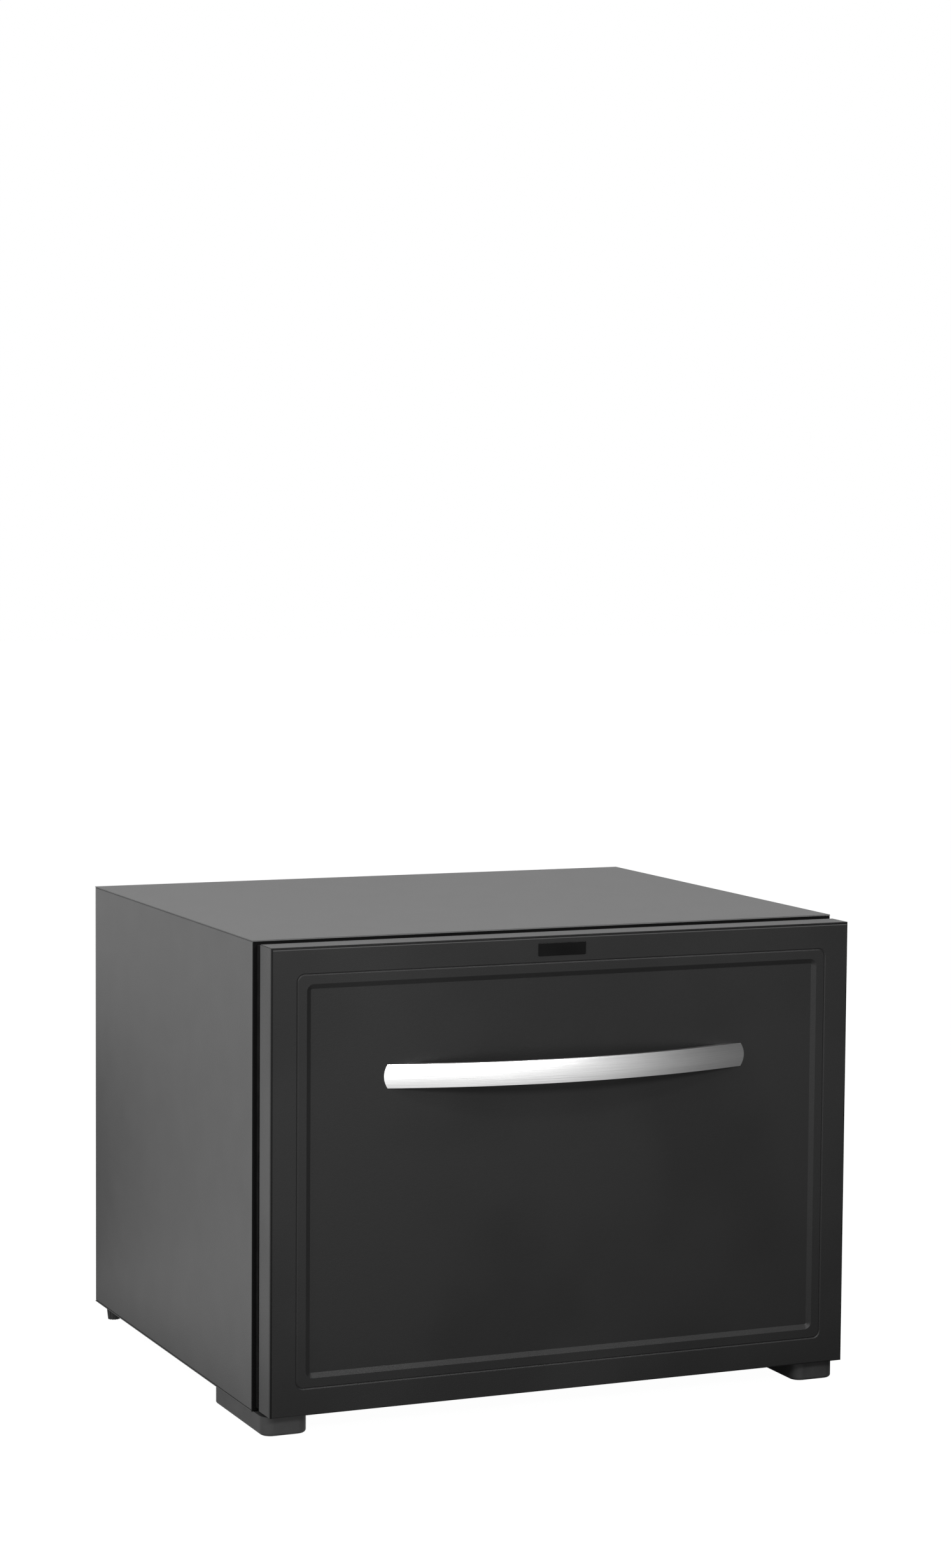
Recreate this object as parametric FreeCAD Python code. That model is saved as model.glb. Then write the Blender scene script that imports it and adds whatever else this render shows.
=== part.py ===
import FreeCAD, Part
import math
import os

# Drawer minibar fridge. Millimetres, +Z up, the front faces -Y.
# The origin is on the floor, at the middle of the space that the fridge takes up.

V = FreeCAD.Vector

# Cabinet
cab_w = 500.0
cab_d = 401.0
cab_h = 364.0
foot_h = 15.0
wall = 38.0
steel_t = 0.8
fold_r = 1.2
flange_w = 22.0
fold_w = 12.0
seam = 0.4

# Cavity and insulation
liner_t = 1.8
liner_r = 9.0
liner_bevel = 6.0
rear_foam = 30.0

# Drawer front
front_t = 25.0
front_gap = 9.0
reveal_side = 2.7
reveal_top = 2.1
reveal_base = 2.3
front_r = 1.2
corner_slit = 0.4

# Relief of the drawer front: an engraved line, then a recessed panel
line_inset = 21.0
line_w = 1.8
line_depth = 0.5
line_r = 5.7
recess_inset = 28.5
recess_depth = 2.0
recess_bevel = 3.9
recess_r = 5.8
recess_inner_r = 0.9

# Bow handle
handle_l = 310.0
handle_h = 18.5
handle_bow = 24.0
handle_t = 4.0
handle_dome = 0.9
handle_pad = 24.0
handle_drop = 104.9
handle_hole_span = 280.0
handle_thread_l = 3.0

# Name plate, left bare
plate_w = 40.6
plate_h = 10.1
plate_t = 0.7
plate_shift = -7.0
plate_drop = 12.7

# Gasket
gasket_inset = 3.2
gasket_w = 16.0
gasket_base_t = 2.4
gasket_head_t = 4.2
gasket_neck_in = 1.6
magnet_w = 9.0
magnet_t = 2.2
seal_gap = 0.2

# Inner side of the drawer front
plinth_inset = 41.0
plinth_draft = 2.0
plinth_depth = 10.0
plinth_r = 10.0
plinth_bevel = 8.0

# Feet
foot_inset = 1.8
foot_w = 37.25
foot_front = 21.6
foot_back = 87.7
foot_r = 9.0
foot_edge = 1.2
rear_foot_inset_x = 14.0
rear_foot_inset_y = 8.6
rear_foot_r = 5.1
rear_foot_top_r = 6.9
rear_foot_ribs = 14
rib_share = 0.07
stud_r = 3.0
stud_l = 11.0
insert_t = 1.4
insert_l = 9.0
foot_screw_l = 9.0
foot_bore_r = 4.4
bore_sides = 8
foot_screw_shares = (0.25, 0.8)

# Telescopic runners, three members a side
runner_l = 250.0
runner_h = 45.0
runner_w = 12.7
runner_t = 1.2
runner_start = 12.5
runner_rise = 105.0
drawer_travel = 240.0
glide_gap = 0.1
glide_t = 3.9
stop_gap = 0.3
runner_screw_l = 14.0
runner_screw_shares = (0.14, 0.86)

# Sections of the runner members, from the cavity wall towards the drawer
outer_edge = 10.5
outer_lip = 3.2
middle_web = 2.5
middle_edge = 11.2
middle_lip = 3.0
inner_edge = 5.2

# Drawer arms and bin
arm_t = 1.5
arm_tab = 26.0
arm_over = 4.5
arm_bend = 2.0
arm_screw_shares = (0.2, 0.8)
arm_screw_l = 8.0
window_shares = ((0.2, 0.38), (0.56, 0.74))
window_rail = 9.0
bin_gap = 0.8
bin_t = 2.5
bin_r = 14.0
bin_draft = 3.0
bin_clear = 6.0
bin_rim = 8.0
bin_rim_drop = 4.0
bin_rim_t = 2.4
bin_back_gap = 6.0
floor_ribs = 9
floor_rib_w = 2.4
floor_rib_h = 1.2
divider_share = 0.42
divider_t = 2.4
neck_r = 19.0
neck_count = 3

# Cooling
module_w = 40.0
module_t = 3.9
block_clear = 0.6
hot_w = 162.0
hot_h = 140.0
hot_base_t = 6.0
hot_fin_h = 20.0
hot_fin_t = 1.3
cold_w = 120.0
cold_h = 108.0
cold_base_t = 5.0
cold_fin_h = 18.0
cold_fin_t = 1.2
fin_pitch = 8.0
clamp_span = 84.0
rear_fan_w = 120.0
rear_fan_t = 25.0
inner_fan_w = 80.0
inner_fan_t = 15.0
fan_rim = 2.6
fan_hub_t = 3.5
fan_hole_inset = 5.0
fan_strut = 3.0
strut_count = 3
fan_tip_gap = 1.4
fan_gap = 0.3
spindle_r = 1.5
running_fit = 0.05
blade_count = 7
blade_t = 1.3
blade_pitch_deg = 32.0
blade_root_share = 0.55
hub_share = 0.36
hub_gap = 0.4

# Air cover over the cold sink
cover_w = 240.0
cover_h = 156.0
cover_t = 2.0
cover_bevel = 6.0
cover_gap = 2.5
cover_flange = 11.0
slot_w = 5.0
slot_pitch = 10.0
outlet_w = 14.0
outlet_pitch = 20.0
cover_screw_l = 12.0

# Rear cover
rear_cover_t = 0.8
rear_cover_inset = 3.0
vent_w = 6.0
vent_pitch = 13.0
vent_l = 46.0
vent_offset = 24.0
vent_count = 8

# Screws
screw_r = 1.7
screw_head_r = 3.4
screw_head_t = 1.6
screw_clear = 0.2
shank_sides = 6
head_sides = 6

# Small works
knob_r = 15.0
knob_t = 12.0
knob_ribs = 16
pointer_w = 2.0
knob_offset = 92.0
pot_w = 18.0
pot_t = 8.0
knob_shaft_r = 3.0
lamp_w = 64.0
lamp_d = 20.0
lamp_h = 9.0
lamp_t = 1.2
lamp_set_back = 40.0
board_t = 1.6
cord_r = 3.6
gland_r = 7.8
gland_collar_r = 11.0
gland_collar_t = 1.6
gland_l = 14.0
gland_sides = 12
gland_inset_x = 60.0
gland_rise = 34.0
reed_half = 3.0
reed_l = 24.0
reed_offset = 130.0

# Electrics in the rear bay
psu_w = 110.0
psu_h = 72.0
psu_d = 36.0
psu_slots = 6
control_w = 92.0
control_h = 64.0
standoff_h = 6.0
standoff_r = 3.0
relay_shares = (
    ((0.2, 0.75), (0.22, 0.26), 0.24),
    ((0.5, 0.75), (0.22, 0.26), 0.24),
    ((0.3, 0.2), (0.46, 0.14), 0.17),
    ((0.48, 0.45), (0.12, 0.12), 0.06),
)

overrun = 1.0

# Places that follow from the sizes
base_z = foot_h
top_z = base_z + cab_h
mid_z = (base_z + top_z) / 2
side_x = cab_w / 2
reach = handle_bow - recess_depth
rear_reach = rear_cover_t + screw_head_t
depth = reach + front_t + front_gap + cab_d + rear_reach
face_y = reach - depth / 2
pan_back_y = face_y + front_t
front_y = pan_back_y + front_gap
back_y = front_y + cab_d
rear_bay = hot_base_t + hot_fin_h + rear_fan_t + fan_gap
bulk_y = back_y - rear_bay - steel_t
liner_back_y = bulk_y - rear_foam
cavity_y = liner_back_y - liner_t
cav_x = side_x - wall
cav_low = base_z + wall
cav_high = top_z - wall
front_x = side_x - reveal_side
front_low = base_z + reveal_base
front_high = top_z - reveal_top
panel_y = face_y + recess_depth
handle_z = top_z - handle_drop
plinth_y = front_y + plinth_depth
runner_z = cav_low + runner_rise
runner_y = front_y + runner_start
arm_x = cav_x - runner_w
glide_l = (runner_l - drawer_travel / 2 - stop_gap) / 2
middle_half = runner_h / 2 - runner_t - glide_t - glide_gap
inner_half = middle_half - runner_t - glide_t - glide_gap
fan_z = mid_z
cover_front_y = cavity_y - cold_base_t - cold_fin_h - inner_fan_t - cover_gap - cover_t


def block(xs, ys, zs):
    """A box between pairs of low and high places."""
    size = (xs[1] - xs[0], ys[1] - ys[0], zs[1] - zs[0])
    return Part.makeBox(*size, V(xs[0], ys[0], zs[0]))


def fuse(shapes):
    """One solid from several that touch."""
    whole = shapes[0]
    if len(shapes) > 1:
        whole = whole.fuse(shapes[1:])
    return whole.removeSplitter()


def outline(xs, zs, r, y):
    """A closed rounded rectangle standing in the plane at y."""
    x0, x1 = xs
    z0, z1 = zs
    k = r * (1 - math.sqrt(0.5))
    edges = [
        Part.LineSegment(V(x0 + r, y, z0), V(x1 - r, y, z0)).toShape(),
        Part.Arc(V(x1 - r, y, z0), V(x1 - k, y, z0 + k), V(x1, y, z0 + r)).toShape(),
        Part.LineSegment(V(x1, y, z0 + r), V(x1, y, z1 - r)).toShape(),
        Part.Arc(V(x1, y, z1 - r), V(x1 - k, y, z1 - k), V(x1 - r, y, z1)).toShape(),
        Part.LineSegment(V(x1 - r, y, z1), V(x0 + r, y, z1)).toShape(),
        Part.Arc(V(x0 + r, y, z1), V(x0 + k, y, z1 - k), V(x0, y, z1 - r)).toShape(),
        Part.LineSegment(V(x0, y, z1 - r), V(x0, y, z0 + r)).toShape(),
        Part.Arc(V(x0, y, z0 + r), V(x0 + k, y, z0 + k), V(x0 + r, y, z0)).toShape(),
    ]
    return Part.Wire(edges)


def plate(xs, zs, r, ys):
    """A plate with rounded corners, standing across Y."""
    face = Part.Face(outline(xs, zs, r, ys[0]))
    return face.extrude(V(0, ys[1] - ys[0], 0))


def taper(xs0, zs0, r0, y0, xs1, zs1, r1, y1):
    """A tapering plug between two rounded rectangles."""
    wires = [outline(xs0, zs0, r0, y0), outline(xs1, zs1, r1, y1)]
    return Part.makeLoft(wires, True, True)


def prism_y(points, ys):
    """A polygon given in X and Z, drawn out along Y."""
    corners = [V(x, ys[0], z) for x, z in points]
    face = Part.Face(Part.makePolygon(corners + corners[:1]))
    return face.extrude(V(0, ys[1] - ys[0], 0))


def prism_z(points, zs):
    """A polygon given in X and Y, drawn up along Z."""
    corners = [V(x, y, zs[0]) for x, y in points]
    face = Part.Face(Part.makePolygon(corners + corners[:1]))
    return face.extrude(V(0, 0, zs[1] - zs[0]))


def rod_y(r, x, z, ys):
    """A round bar along Y."""
    return Part.makeCylinder(r, ys[1] - ys[0], V(x, ys[0], z), V(0, 1, 0))


def rod_z(r, x, y, zs):
    """A round bar along Z."""
    return Part.makeCylinder(r, zs[1] - zs[0], V(x, y, zs[0]), V(0, 0, 1))


def ring_points(r, a, b, count):
    """Corners of a regular polygon round a centre."""
    turns = [2 * math.pi * (i + 0.5) / count for i in range(count)]
    return [(a + r * math.cos(turn), b + r * math.sin(turn)) for turn in turns]


def frustum(low, high):
    """A solid with flat sides between two outlines of the same shape."""
    faces = [Part.Face(Part.makePolygon(ring + ring[:1])) for ring in (low, high)]
    for i in range(len(low)):
        quad = [low[i - 1], low[i], high[i], high[i - 1]]
        faces.append(Part.Face(Part.makePolygon(quad + quad[:1])))
    solid = Part.Solid(Part.Shell(faces))
    if solid.Volume < 0:
        solid.reverse()
    return solid


def shank_y(r, x, z, ys):
    """A screw's shank or its clearance hole along Y, drawn with six sides."""
    return prism_y(ring_points(r, x, z, shank_sides), ys)


def shank_z(r, x, y, zs):
    """The same along Z."""
    return prism_z(ring_points(r, x, y, shank_sides), zs)


def shank_x(r, y, z, xs, end_r):
    """The same along X, with a radius of its own at the far end."""
    low = [V(xs[0], b, c) for b, c in ring_points(r, y, z, shank_sides)]
    high = [V(xs[1], b, c) for b, c in ring_points(end_r, y, z, shank_sides)]
    return frustum(low, high)


def slot_y(xs, z, w, ys):
    """A punched slot along X, cut through along Y."""
    return block(xs, ys, (z - w / 2, z + w / 2))


def pocket_y(x, z, r, ys):
    """A square pocket along Y, round a screw."""
    return block((x - r, x + r), ys, (z - r, z + r))


def mirrored(shape):
    """The same piece on the other side of the fridge."""
    return shape.mirror(V(0, 0, 0), V(1, 0, 0))


def rounded(shape, r, chosen):
    """Rounds the edges that the test picks by their two end points."""
    edges = []
    for edge in shape.Edges:
        ends = [v.Point for v in edge.Vertexes]
        if chosen(ends[0], ends[-1]):
            edges.append(edge)
    return shape.makeFillet(r, edges)


def bevelled(shape, size, chosen):
    """Bevels the edges that the test picks by their two end points."""
    edges = []
    for edge in shape.Edges:
        ends = [v.Point for v in edge.Vertexes]
        if chosen(ends[0], ends[-1]):
            edges.append(edge)
    return shape.makeChamfer(size, edges)


def near(a, b):
    """True where two places are the same."""
    return abs(a - b) < running_fit / 10


def both(axis, place, p, q):
    """True where both ends of an edge lie at one place along an axis."""
    return near(getattr(p, axis), place) and near(getattr(q, axis), place)


def pan_screw_y(x, z, seat_y, length, way):
    """A pan-head screw along Y; way is the side that its head stands on."""
    head = (seat_y, seat_y + way * screw_head_t)
    shank = (seat_y - way * length, seat_y)
    parts = [
        prism_y(ring_points(screw_head_r, x, z, head_sides), (min(head), max(head))),
        shank_y(screw_r, x, z, (min(shank), max(shank))),
    ]
    return fuse(parts)


def group(solids):
    """Several separate solids in one node."""
    return Part.makeCompound(solids)


# Steel skins

def rear_screw_places():
    """Where the rear cover is screwed to the folds of the skins."""
    in_x = side_x - (rear_cover_inset + fold_w) / 2
    in_z = cab_h / 2 - (rear_cover_inset + fold_w) / 2
    places = [(0, mid_z - in_z), (0, mid_z + in_z)]
    for sx in (-1, 1):
        for sz in (-1, 1):
            places.append((sx * in_x, mid_z + sz * cab_h / 4))
    return places


def screw_holes_rear(shape):
    """Clearance holes for the rear cover's screws."""
    holes = []
    for x, z in rear_screw_places():
        holes.append(shank_y(screw_r + screw_clear, x, z, (back_y - fold_w, back_y + fold_w)))
    return shape.cut(holes)


def rear_foot_places():
    y = back_y - rear_foot_inset_y
    return [(-side_x + rear_foot_inset_x, y), (side_x - rear_foot_inset_x, y)]


def side_panel():
    """Left skin: a shallow pan, folded in all round, mitred at the front."""
    x0 = -side_x
    low = base_z + steel_t
    high = top_z - steel_t
    pan = block((x0, x0 + flange_w), (front_y, back_y), (low, high))
    pan = rounded(pan, fold_r, lambda p, q: both("x", x0, p, q))
    inner = block(
        (x0 + steel_t, x0 + flange_w + overrun),
        (front_y + steel_t, back_y - steel_t),
        (low + steel_t, high - steel_t),
    )
    narrow = block(
        (x0 + fold_w, x0 + flange_w + overrun),
        (front_y + steel_t, back_y + overrun),
        (low - overrun, high + overrun),
    )
    pan = pan.cut([inner, narrow])
    far = flange_w + overrun
    mitres = []
    for edge_z, way in ((top_z, -1), (base_z, 1)):
        corner = edge_z + way * seam / 2
        points = [
            (x0, edge_z - way * far),
            (x0, corner),
            (x0 + far, corner + way * far),
            (x0 + far, edge_z - way * far),
        ]
        mitres.append(prism_y(points, (front_y - overrun, front_y + steel_t)))
    pan = pan.cut(mitres)
    notch = []
    for x, y in rear_foot_places()[:1]:
        r = stud_r + insert_t + seam
        notch.append(block((x - r, x + r), (y - r, y + r), (base_z, base_z + wall / 2)))
    return screw_holes_rear(pan.cut(notch))


def top_panel():
    """Top skin: a flat sheet with a mitred front flange and a rear fold."""
    sheet = block((-side_x, side_x), (front_y, back_y), (top_z - steel_t, top_z))
    front = block((-side_x, side_x), (front_y, front_y + steel_t), (top_z - flange_w, top_z))
    tuck = side_x - fold_w - seam
    rear = block((-tuck, tuck), (back_y - steel_t, back_y), (top_z - fold_w, top_z))
    skin = fuse([sheet, front, rear])
    skin = rounded(skin, fold_r, lambda p, q: both("y", front_y, p, q) and both("z", top_z, p, q))
    far = flange_w + overrun
    mitres = []
    for way in (-1, 1):
        edge = way * side_x
        points = [
            (edge, top_z - seam / 2),
            (edge, top_z - far),
            (edge - way * (far - seam / 2), top_z - far),
        ]
        mitres.append(prism_y(points, (front_y - overrun, front_y + steel_t)))
    flap = block(
        (-side_x, side_x),
        (front_y, front_y + steel_t),
        (top_z - steel_t, top_z),
    )
    kept = skin.common(flap)
    return screw_holes_rear(fuse([skin.cut(mitres), kept]))


def base_panel():
    """Bottom skin: the top skin turned over, bored for the feet."""
    skin = top_panel().mirror(V(0, 0, mid_z), V(0, 0, 1))
    holes = []
    span = (base_z - overrun, base_z + steel_t + overrun)
    for x, y in rear_foot_places():
        holes.append(shank_z(stud_r + insert_t, x, y, span))
    for x, y in foot_screw_places():
        holes.append(shank_z(screw_r + screw_clear, x, y, span))
    return skin.cut(holes)


def rear_bulkhead():
    """Steel wall between the foam and the rear bay, with folded edges."""
    xs = (-side_x + steel_t, side_x - steel_t)
    zs = (base_z + 2 * steel_t, top_z - 2 * steel_t)
    pan = block(xs, (bulk_y, bulk_y + fold_w), zs)
    inner = block(
        (xs[0] + steel_t, xs[1] - steel_t),
        (bulk_y + steel_t, bulk_y + fold_w + overrun),
        (zs[0] + steel_t, zs[1] - steel_t),
    )
    pan = pan.cut(inner)
    ys = (bulk_y - overrun, bulk_y + steel_t + overrun)
    half = module_w / 2 + block_clear
    holes = [block((-half, half), ys, (fan_z - half, fan_z + half))]
    for x, z in clamp_places():
        holes.append(shank_y(screw_r + screw_clear, x, z, ys))
    return pan.cut(holes)


def rear_cover():
    """Slotted steel cover over the rear bay: a fan grille between two rows of inlets."""
    xs = (-side_x + rear_cover_inset, side_x - rear_cover_inset)
    zs = (base_z + rear_cover_inset, top_z - rear_cover_inset)
    ys = (back_y, back_y + rear_cover_t)
    cut_ys = (ys[0] - overrun, ys[1] + overrun)
    sheet = block(xs, ys, zs)
    holes = []
    for x, z in rear_screw_places():
        holes.append(shank_y(screw_r + screw_clear, x, z, cut_ys))
    grille_r = rear_fan_w / 2 - 2 * fan_rim
    rows = int((grille_r - vent_w) / vent_pitch)
    for i in range(-rows, rows + 1):
        dz = i * vent_pitch
        half = math.sqrt(grille_r ** 2 - (abs(dz) + vent_w / 2) ** 2)
        holes.append(slot_y((-half, half), fan_z + dz, vent_w, cut_ys))
    inner_x = rear_fan_w / 2 + vent_offset
    for side in (-1, 1):
        near_x = side * inner_x
        far_x = side * (inner_x + vent_l)
        span = (min(near_x, far_x), max(near_x, far_x))
        for i in range(vent_count):
            dz = (i - (vent_count - 1) / 2) * vent_pitch
            holes.append(slot_y(span, fan_z + dz, vent_w, cut_ys))
    for x, z in fan_screw_places():
        holes.append(shank_y(screw_r + screw_clear, x, z, cut_ys))
    gland = gland_place()
    hole = ring_points(gland_r + screw_clear / 2, gland[0], gland[1], gland_sides)
    holes.append(prism_y(hole, cut_ys))
    return sheet.cut(holes)


def rear_cover_screws():
    """Screws round the rear cover, and four that hold the fan to it."""
    screws = []
    for x, z in rear_screw_places():
        screws.append(pan_screw_y(x, z, back_y + rear_cover_t, fold_w / 2, 1))
    for x, z in fan_screw_places():
        screws.append(pan_screw_y(x, z, back_y + rear_cover_t, fold_w / 2, 1))
    return group(screws)


# Insulation and liner

def along_depth(p, q):
    """True for an edge that runs along Y."""
    return near(p.x, q.x) and near(p.z, q.z)


def cavity():
    """The space inside the liner, rounded along its depth."""
    space = block((-cav_x, cav_x), (front_y - overrun, cavity_y), (cav_low, cav_high))
    return rounded(space, liner_r, along_depth)


def liner_outside():
    """The outside of the liner in the foam, bevelled along its depth."""
    out_x = cav_x + liner_t
    zs = (cav_low - liner_t, cav_high + liner_t)
    return bevelled(block((-out_x, out_x), (front_y, liner_back_y), zs), liner_bevel, along_depth)


def lip_rect():
    """The rectangle that the front flanges of the skins leave free."""
    edge = flange_w + seam
    return (-side_x + edge, side_x - edge), (base_z + edge, top_z - edge)


def inner_liner():
    """Moulded cavity with a front lip that meets the steel flanges."""
    xs, zs = lip_rect()
    lip = block(xs, (front_y, front_y + liner_t), zs)
    shell = fuse([liner_outside(), lip]).cut(cavity())
    half = module_w / 2 + block_clear
    ys = (cavity_y - overrun, liner_back_y + overrun)
    holes = [block((-half, half), ys, (fan_z - half, fan_z + half))]
    for x, z in clamp_places():
        holes.append(shank_y(screw_r + screw_clear, x, z, ys))
    for x, z in cover_screw_places():
        holes.append(shank_y(screw_r + screw_clear, x, z, ys))
    for y, z in runner_screw_places():
        hole_r = screw_r + screw_clear
        holes.append(shank_x(hole_r, y, z, (-side_x, side_x), hole_r))
    return shell.cut(holes)


def cabinet_insulation():
    """Foam that fills the space between the skins and the liner."""
    foam = block(
        (-side_x + steel_t, side_x - steel_t),
        (front_y + steel_t, bulk_y),
        (base_z + 2 * steel_t, top_z - 2 * steel_t),
    )
    xs, zs = lip_rect()
    cuts = [liner_outside(), block(xs, (front_y, front_y + liner_t), zs)]
    half = module_w / 2 + block_clear
    r = screw_r + screw_clear
    ys = (cavity_y, bulk_y + overrun)
    cuts.append(block((-half, half), ys, (fan_z - half, fan_z + half)))
    for x, z in clamp_places():
        cuts.append(pocket_y(x, z, r, ys))
    for x, z in cover_screw_places():
        cuts.append(pocket_y(x, z, r, (cavity_y, cavity_y + cover_screw_l)))
    for y, z in runner_screw_places():
        for way in (-1, 1):
            span = (way * cav_x, way * (cav_x + runner_screw_l))
            cuts.append(block((min(span), max(span)), (y - r, y + r), (z - r, z + r)))
    for x, y in foot_screw_places():
        cuts.append(block((x - r, x + r), (y - r, y + r), (base_z, base_z + foot_screw_l)))
    cuts.append(reed_switch_body())
    return foam.cut(cuts)


# Feet

def foot_screw_places():
    """Two screws in each block foot, behind the cabinet's front edge."""
    places = []
    x = side_x - foot_inset - foot_w / 2
    for side in (-1, 1):
        for share in foot_screw_shares:
            places.append((side * x, front_y + share * foot_back))
    return places


def front_foot():
    """Left block foot: rounded at the front, it runs forward under the drawer front."""
    x0 = -side_x + foot_inset
    x1 = x0 + foot_w
    y0 = front_y - foot_front
    y1 = front_y + foot_back
    foot = block((x0, x1), (y0, y1), (0, foot_h))
    foot = rounded(foot, foot_r, lambda p, q: both("y", y0, p, q) and not near(p.z, q.z))
    foot = bevelled(foot, foot_edge, lambda p, q: both("z", 0, p, q))
    bores = []
    for x, y in foot_screw_places():
        bore = ring_points(foot_bore_r, x, y, bore_sides)
        bores.append(prism_z(bore, (-overrun, foot_h / 2)))
        bores.append(shank_z(screw_r + screw_clear, x, y, (0, foot_h + overrun)))
    return foot.cut(bores)


def front_foot_screws():
    """Screws from below, with their heads in the feet's counterbores."""
    screws = []
    for x, y in foot_screw_places():
        head_zs = (foot_h / 2 - screw_head_t, foot_h / 2)
        head = prism_z(ring_points(screw_head_r, x, y, head_sides), head_zs)
        shank = shank_z(screw_r, x, y, (foot_h / 2, base_z + foot_screw_l))
        screws.append(fuse([head, shank]))
    return group(screws)


def star(x, y, z, r, count):
    """Corners of a flat outline with pointed ribs round it."""
    corners = []
    for i in range(2 * count):
        turn = math.pi * i / count
        reach_r = r * (1 - rib_share * (i % 2))
        corners.append(V(x + reach_r * math.cos(turn), y + reach_r * math.sin(turn), z))
    return corners


def rear_foot(place):
    """Ribbed screw foot, wider at the top, on a threaded stud."""
    x, y = place
    body_top = base_z - seal_gap
    low = star(x, y, 0, rear_foot_r, rear_foot_ribs)
    high = star(x, y, body_top, rear_foot_top_r, rear_foot_ribs)
    cone = frustum(low, high)
    stud = rod_z(stud_r, x, y, (body_top - overrun, base_z + stud_l))
    return fuse([cone, stud])


def rear_foot_inserts():
    """Six-sided threaded sleeves pressed into the base skin."""
    sleeves = []
    for x, y in rear_foot_places():
        tube = shank_z(stud_r + insert_t, x, y, (base_z, base_z + insert_l))
        sleeves.append(tube.cut(rod_z(stud_r + running_fit, x, y, (0, top_z))))
    return group(sleeves)


# Heat pump

def clamp_places():
    """Two screws that squeeze both sinks on the module."""
    return [(-clamp_span / 2, fan_z), (clamp_span / 2, fan_z)]


def fins(width, height, base_ys, fin_ys, fin_t):
    """A finned sink: a base plate and upright fins."""
    parts = [block((-width / 2, width / 2), base_ys, (fan_z - height / 2, fan_z + height / 2))]
    count = int((width - fin_t) / fin_pitch)
    for i in range(count + 1):
        x = (i - count / 2) * fin_pitch
        zs = (fan_z - height / 2, fan_z + height / 2)
        parts.append(block((x - fin_t / 2, x + fin_t / 2), fin_ys, zs))
    return fuse(parts)


def hot_sink():
    """Finned aluminium sink in the rear bay, cleared for the clamp screws' heads."""
    y0 = bulk_y + steel_t
    y1 = y0 + hot_base_t
    y2 = y1 + hot_fin_h
    sink = fins(hot_w, hot_h, (y0, y1), (y1, y2), hot_fin_t)
    cuts = []
    for x, z in clamp_places():
        cuts.append(pocket_y(x, z, screw_head_r + seam, (y1, y2 + overrun)))
        cuts.append(shank_y(screw_r + screw_clear, x, z, (y0 - overrun, y1 + overrun)))
    return sink.cut(cuts)


def cold_sink():
    """Finned aluminium sink on the cavity's rear wall."""
    y2 = cavity_y
    y1 = y2 - cold_base_t
    y0 = y1 - cold_fin_h
    sink = fins(cold_w, cold_h, (y1, y2), (y0, y1), cold_fin_t)
    cuts = []
    for x, z in clamp_places():
        cuts.append(shank_y(screw_r + running_fit, x, z, (y1 + cold_base_t / 3, y2 + overrun)))
    return sink.cut(cuts)


def thermoelectric_module():
    """Flat ceramic sandwich pressed on the hot sink."""
    y1 = bulk_y + steel_t
    half = module_w / 2
    layer = module_t / 4
    parts = [
        block((-half, half), (y1 - layer, y1), (fan_z - half, fan_z + half)),
        block((-half, half), (y1 - module_t, y1 - module_t + layer), (fan_z - half, fan_z + half)),
    ]
    core = half - layer
    parts.append(
        block((-core, core), (y1 - module_t + layer, y1 - layer), (fan_z - core, fan_z + core))
    )
    return fuse(parts)


def cold_block():
    """Aluminium block that carries the cold through the foam."""
    half = module_w / 2
    ys = (cavity_y, bulk_y + steel_t - module_t)
    return block((-half, half), ys, (fan_z - half, fan_z + half))


def clamp_screws():
    """Long screws from the hot sink to the cold sink."""
    seat = bulk_y + steel_t + hot_base_t
    length = seat - cavity_y + cold_base_t / 2
    return group([pan_screw_y(x, z, seat, length, 1) for x, z in clamp_places()])


# Fans

def fan_screw_places():
    half = rear_fan_w / 2 - fan_hole_inset - screw_r
    return [(sx * half, fan_z + sz * half) for sx in (-1, 1) for sz in (-1, 1)]


def fan_frame(width, ys):
    """Square fan frame with a round duct, three struts and a hub with a bearing."""
    y0, y1 = ys
    half = width / 2
    bore_r = half - fan_rim
    hub_r = width * hub_share / 2
    zs = (fan_z - half, fan_z + half)
    frame = block((-half, half), ys, zs)
    frame = frame.cut(rod_y(bore_r, 0, fan_z, (y0 - overrun, y1 + overrun)))
    hub_ys = (y1 - fan_hub_t, y1)
    parts = [frame, rod_y(hub_r, 0, fan_z, hub_ys)]
    zs = (fan_z - fan_strut / 2, fan_z + fan_strut / 2)
    for i in range(strut_count):
        arm = block((hub_r - fan_strut, bore_r + fan_rim / 2), hub_ys, zs)
        arm.rotate(V(0, 0, fan_z), V(0, 1, 0), 360.0 * (i + 0.25) / strut_count)
        parts.append(arm)
    bearing = rod_y(spindle_r + running_fit, 0, fan_z, (y0 - overrun, y1 + overrun))
    return fuse(parts).cut(bearing)


def rear_fan_frame():
    """Fan frame with a screw hole in each corner of its rear face."""
    y1 = rear_fan_ys()[1]
    holes = []
    for x, z in fan_screw_places():
        holes.append(shank_y(screw_r + running_fit, x, z, (y1 - fold_w / 2, y1 + overrun)))
    return fan_frame(rear_fan_w, rear_fan_ys()).cut(holes)


def fan_rotor(width, ys):
    """Hub with pitched blades on a spindle that turns in the frame's bearing."""
    y0 = ys[0] + hub_gap
    y1 = ys[1] - fan_hub_t - hub_gap
    hub_r = width * hub_share / 2
    tip_r = width / 2 - fan_rim - fan_tip_gap
    parts = [
        rod_y(hub_r, 0, fan_z, (y0, y1)),
        rod_y(spindle_r, 0, fan_z, (y1 - overrun, y1 + fan_hub_t)),
    ]
    for i in range(blade_count):
        blade = fan_blade(hub_r, tip_r, y0, y1)
        blade.rotate(V(0, 0, fan_z), V(0, 1, 0), 360.0 * i / blade_count)
        parts.append(blade)
    return fuse(parts)


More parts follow.
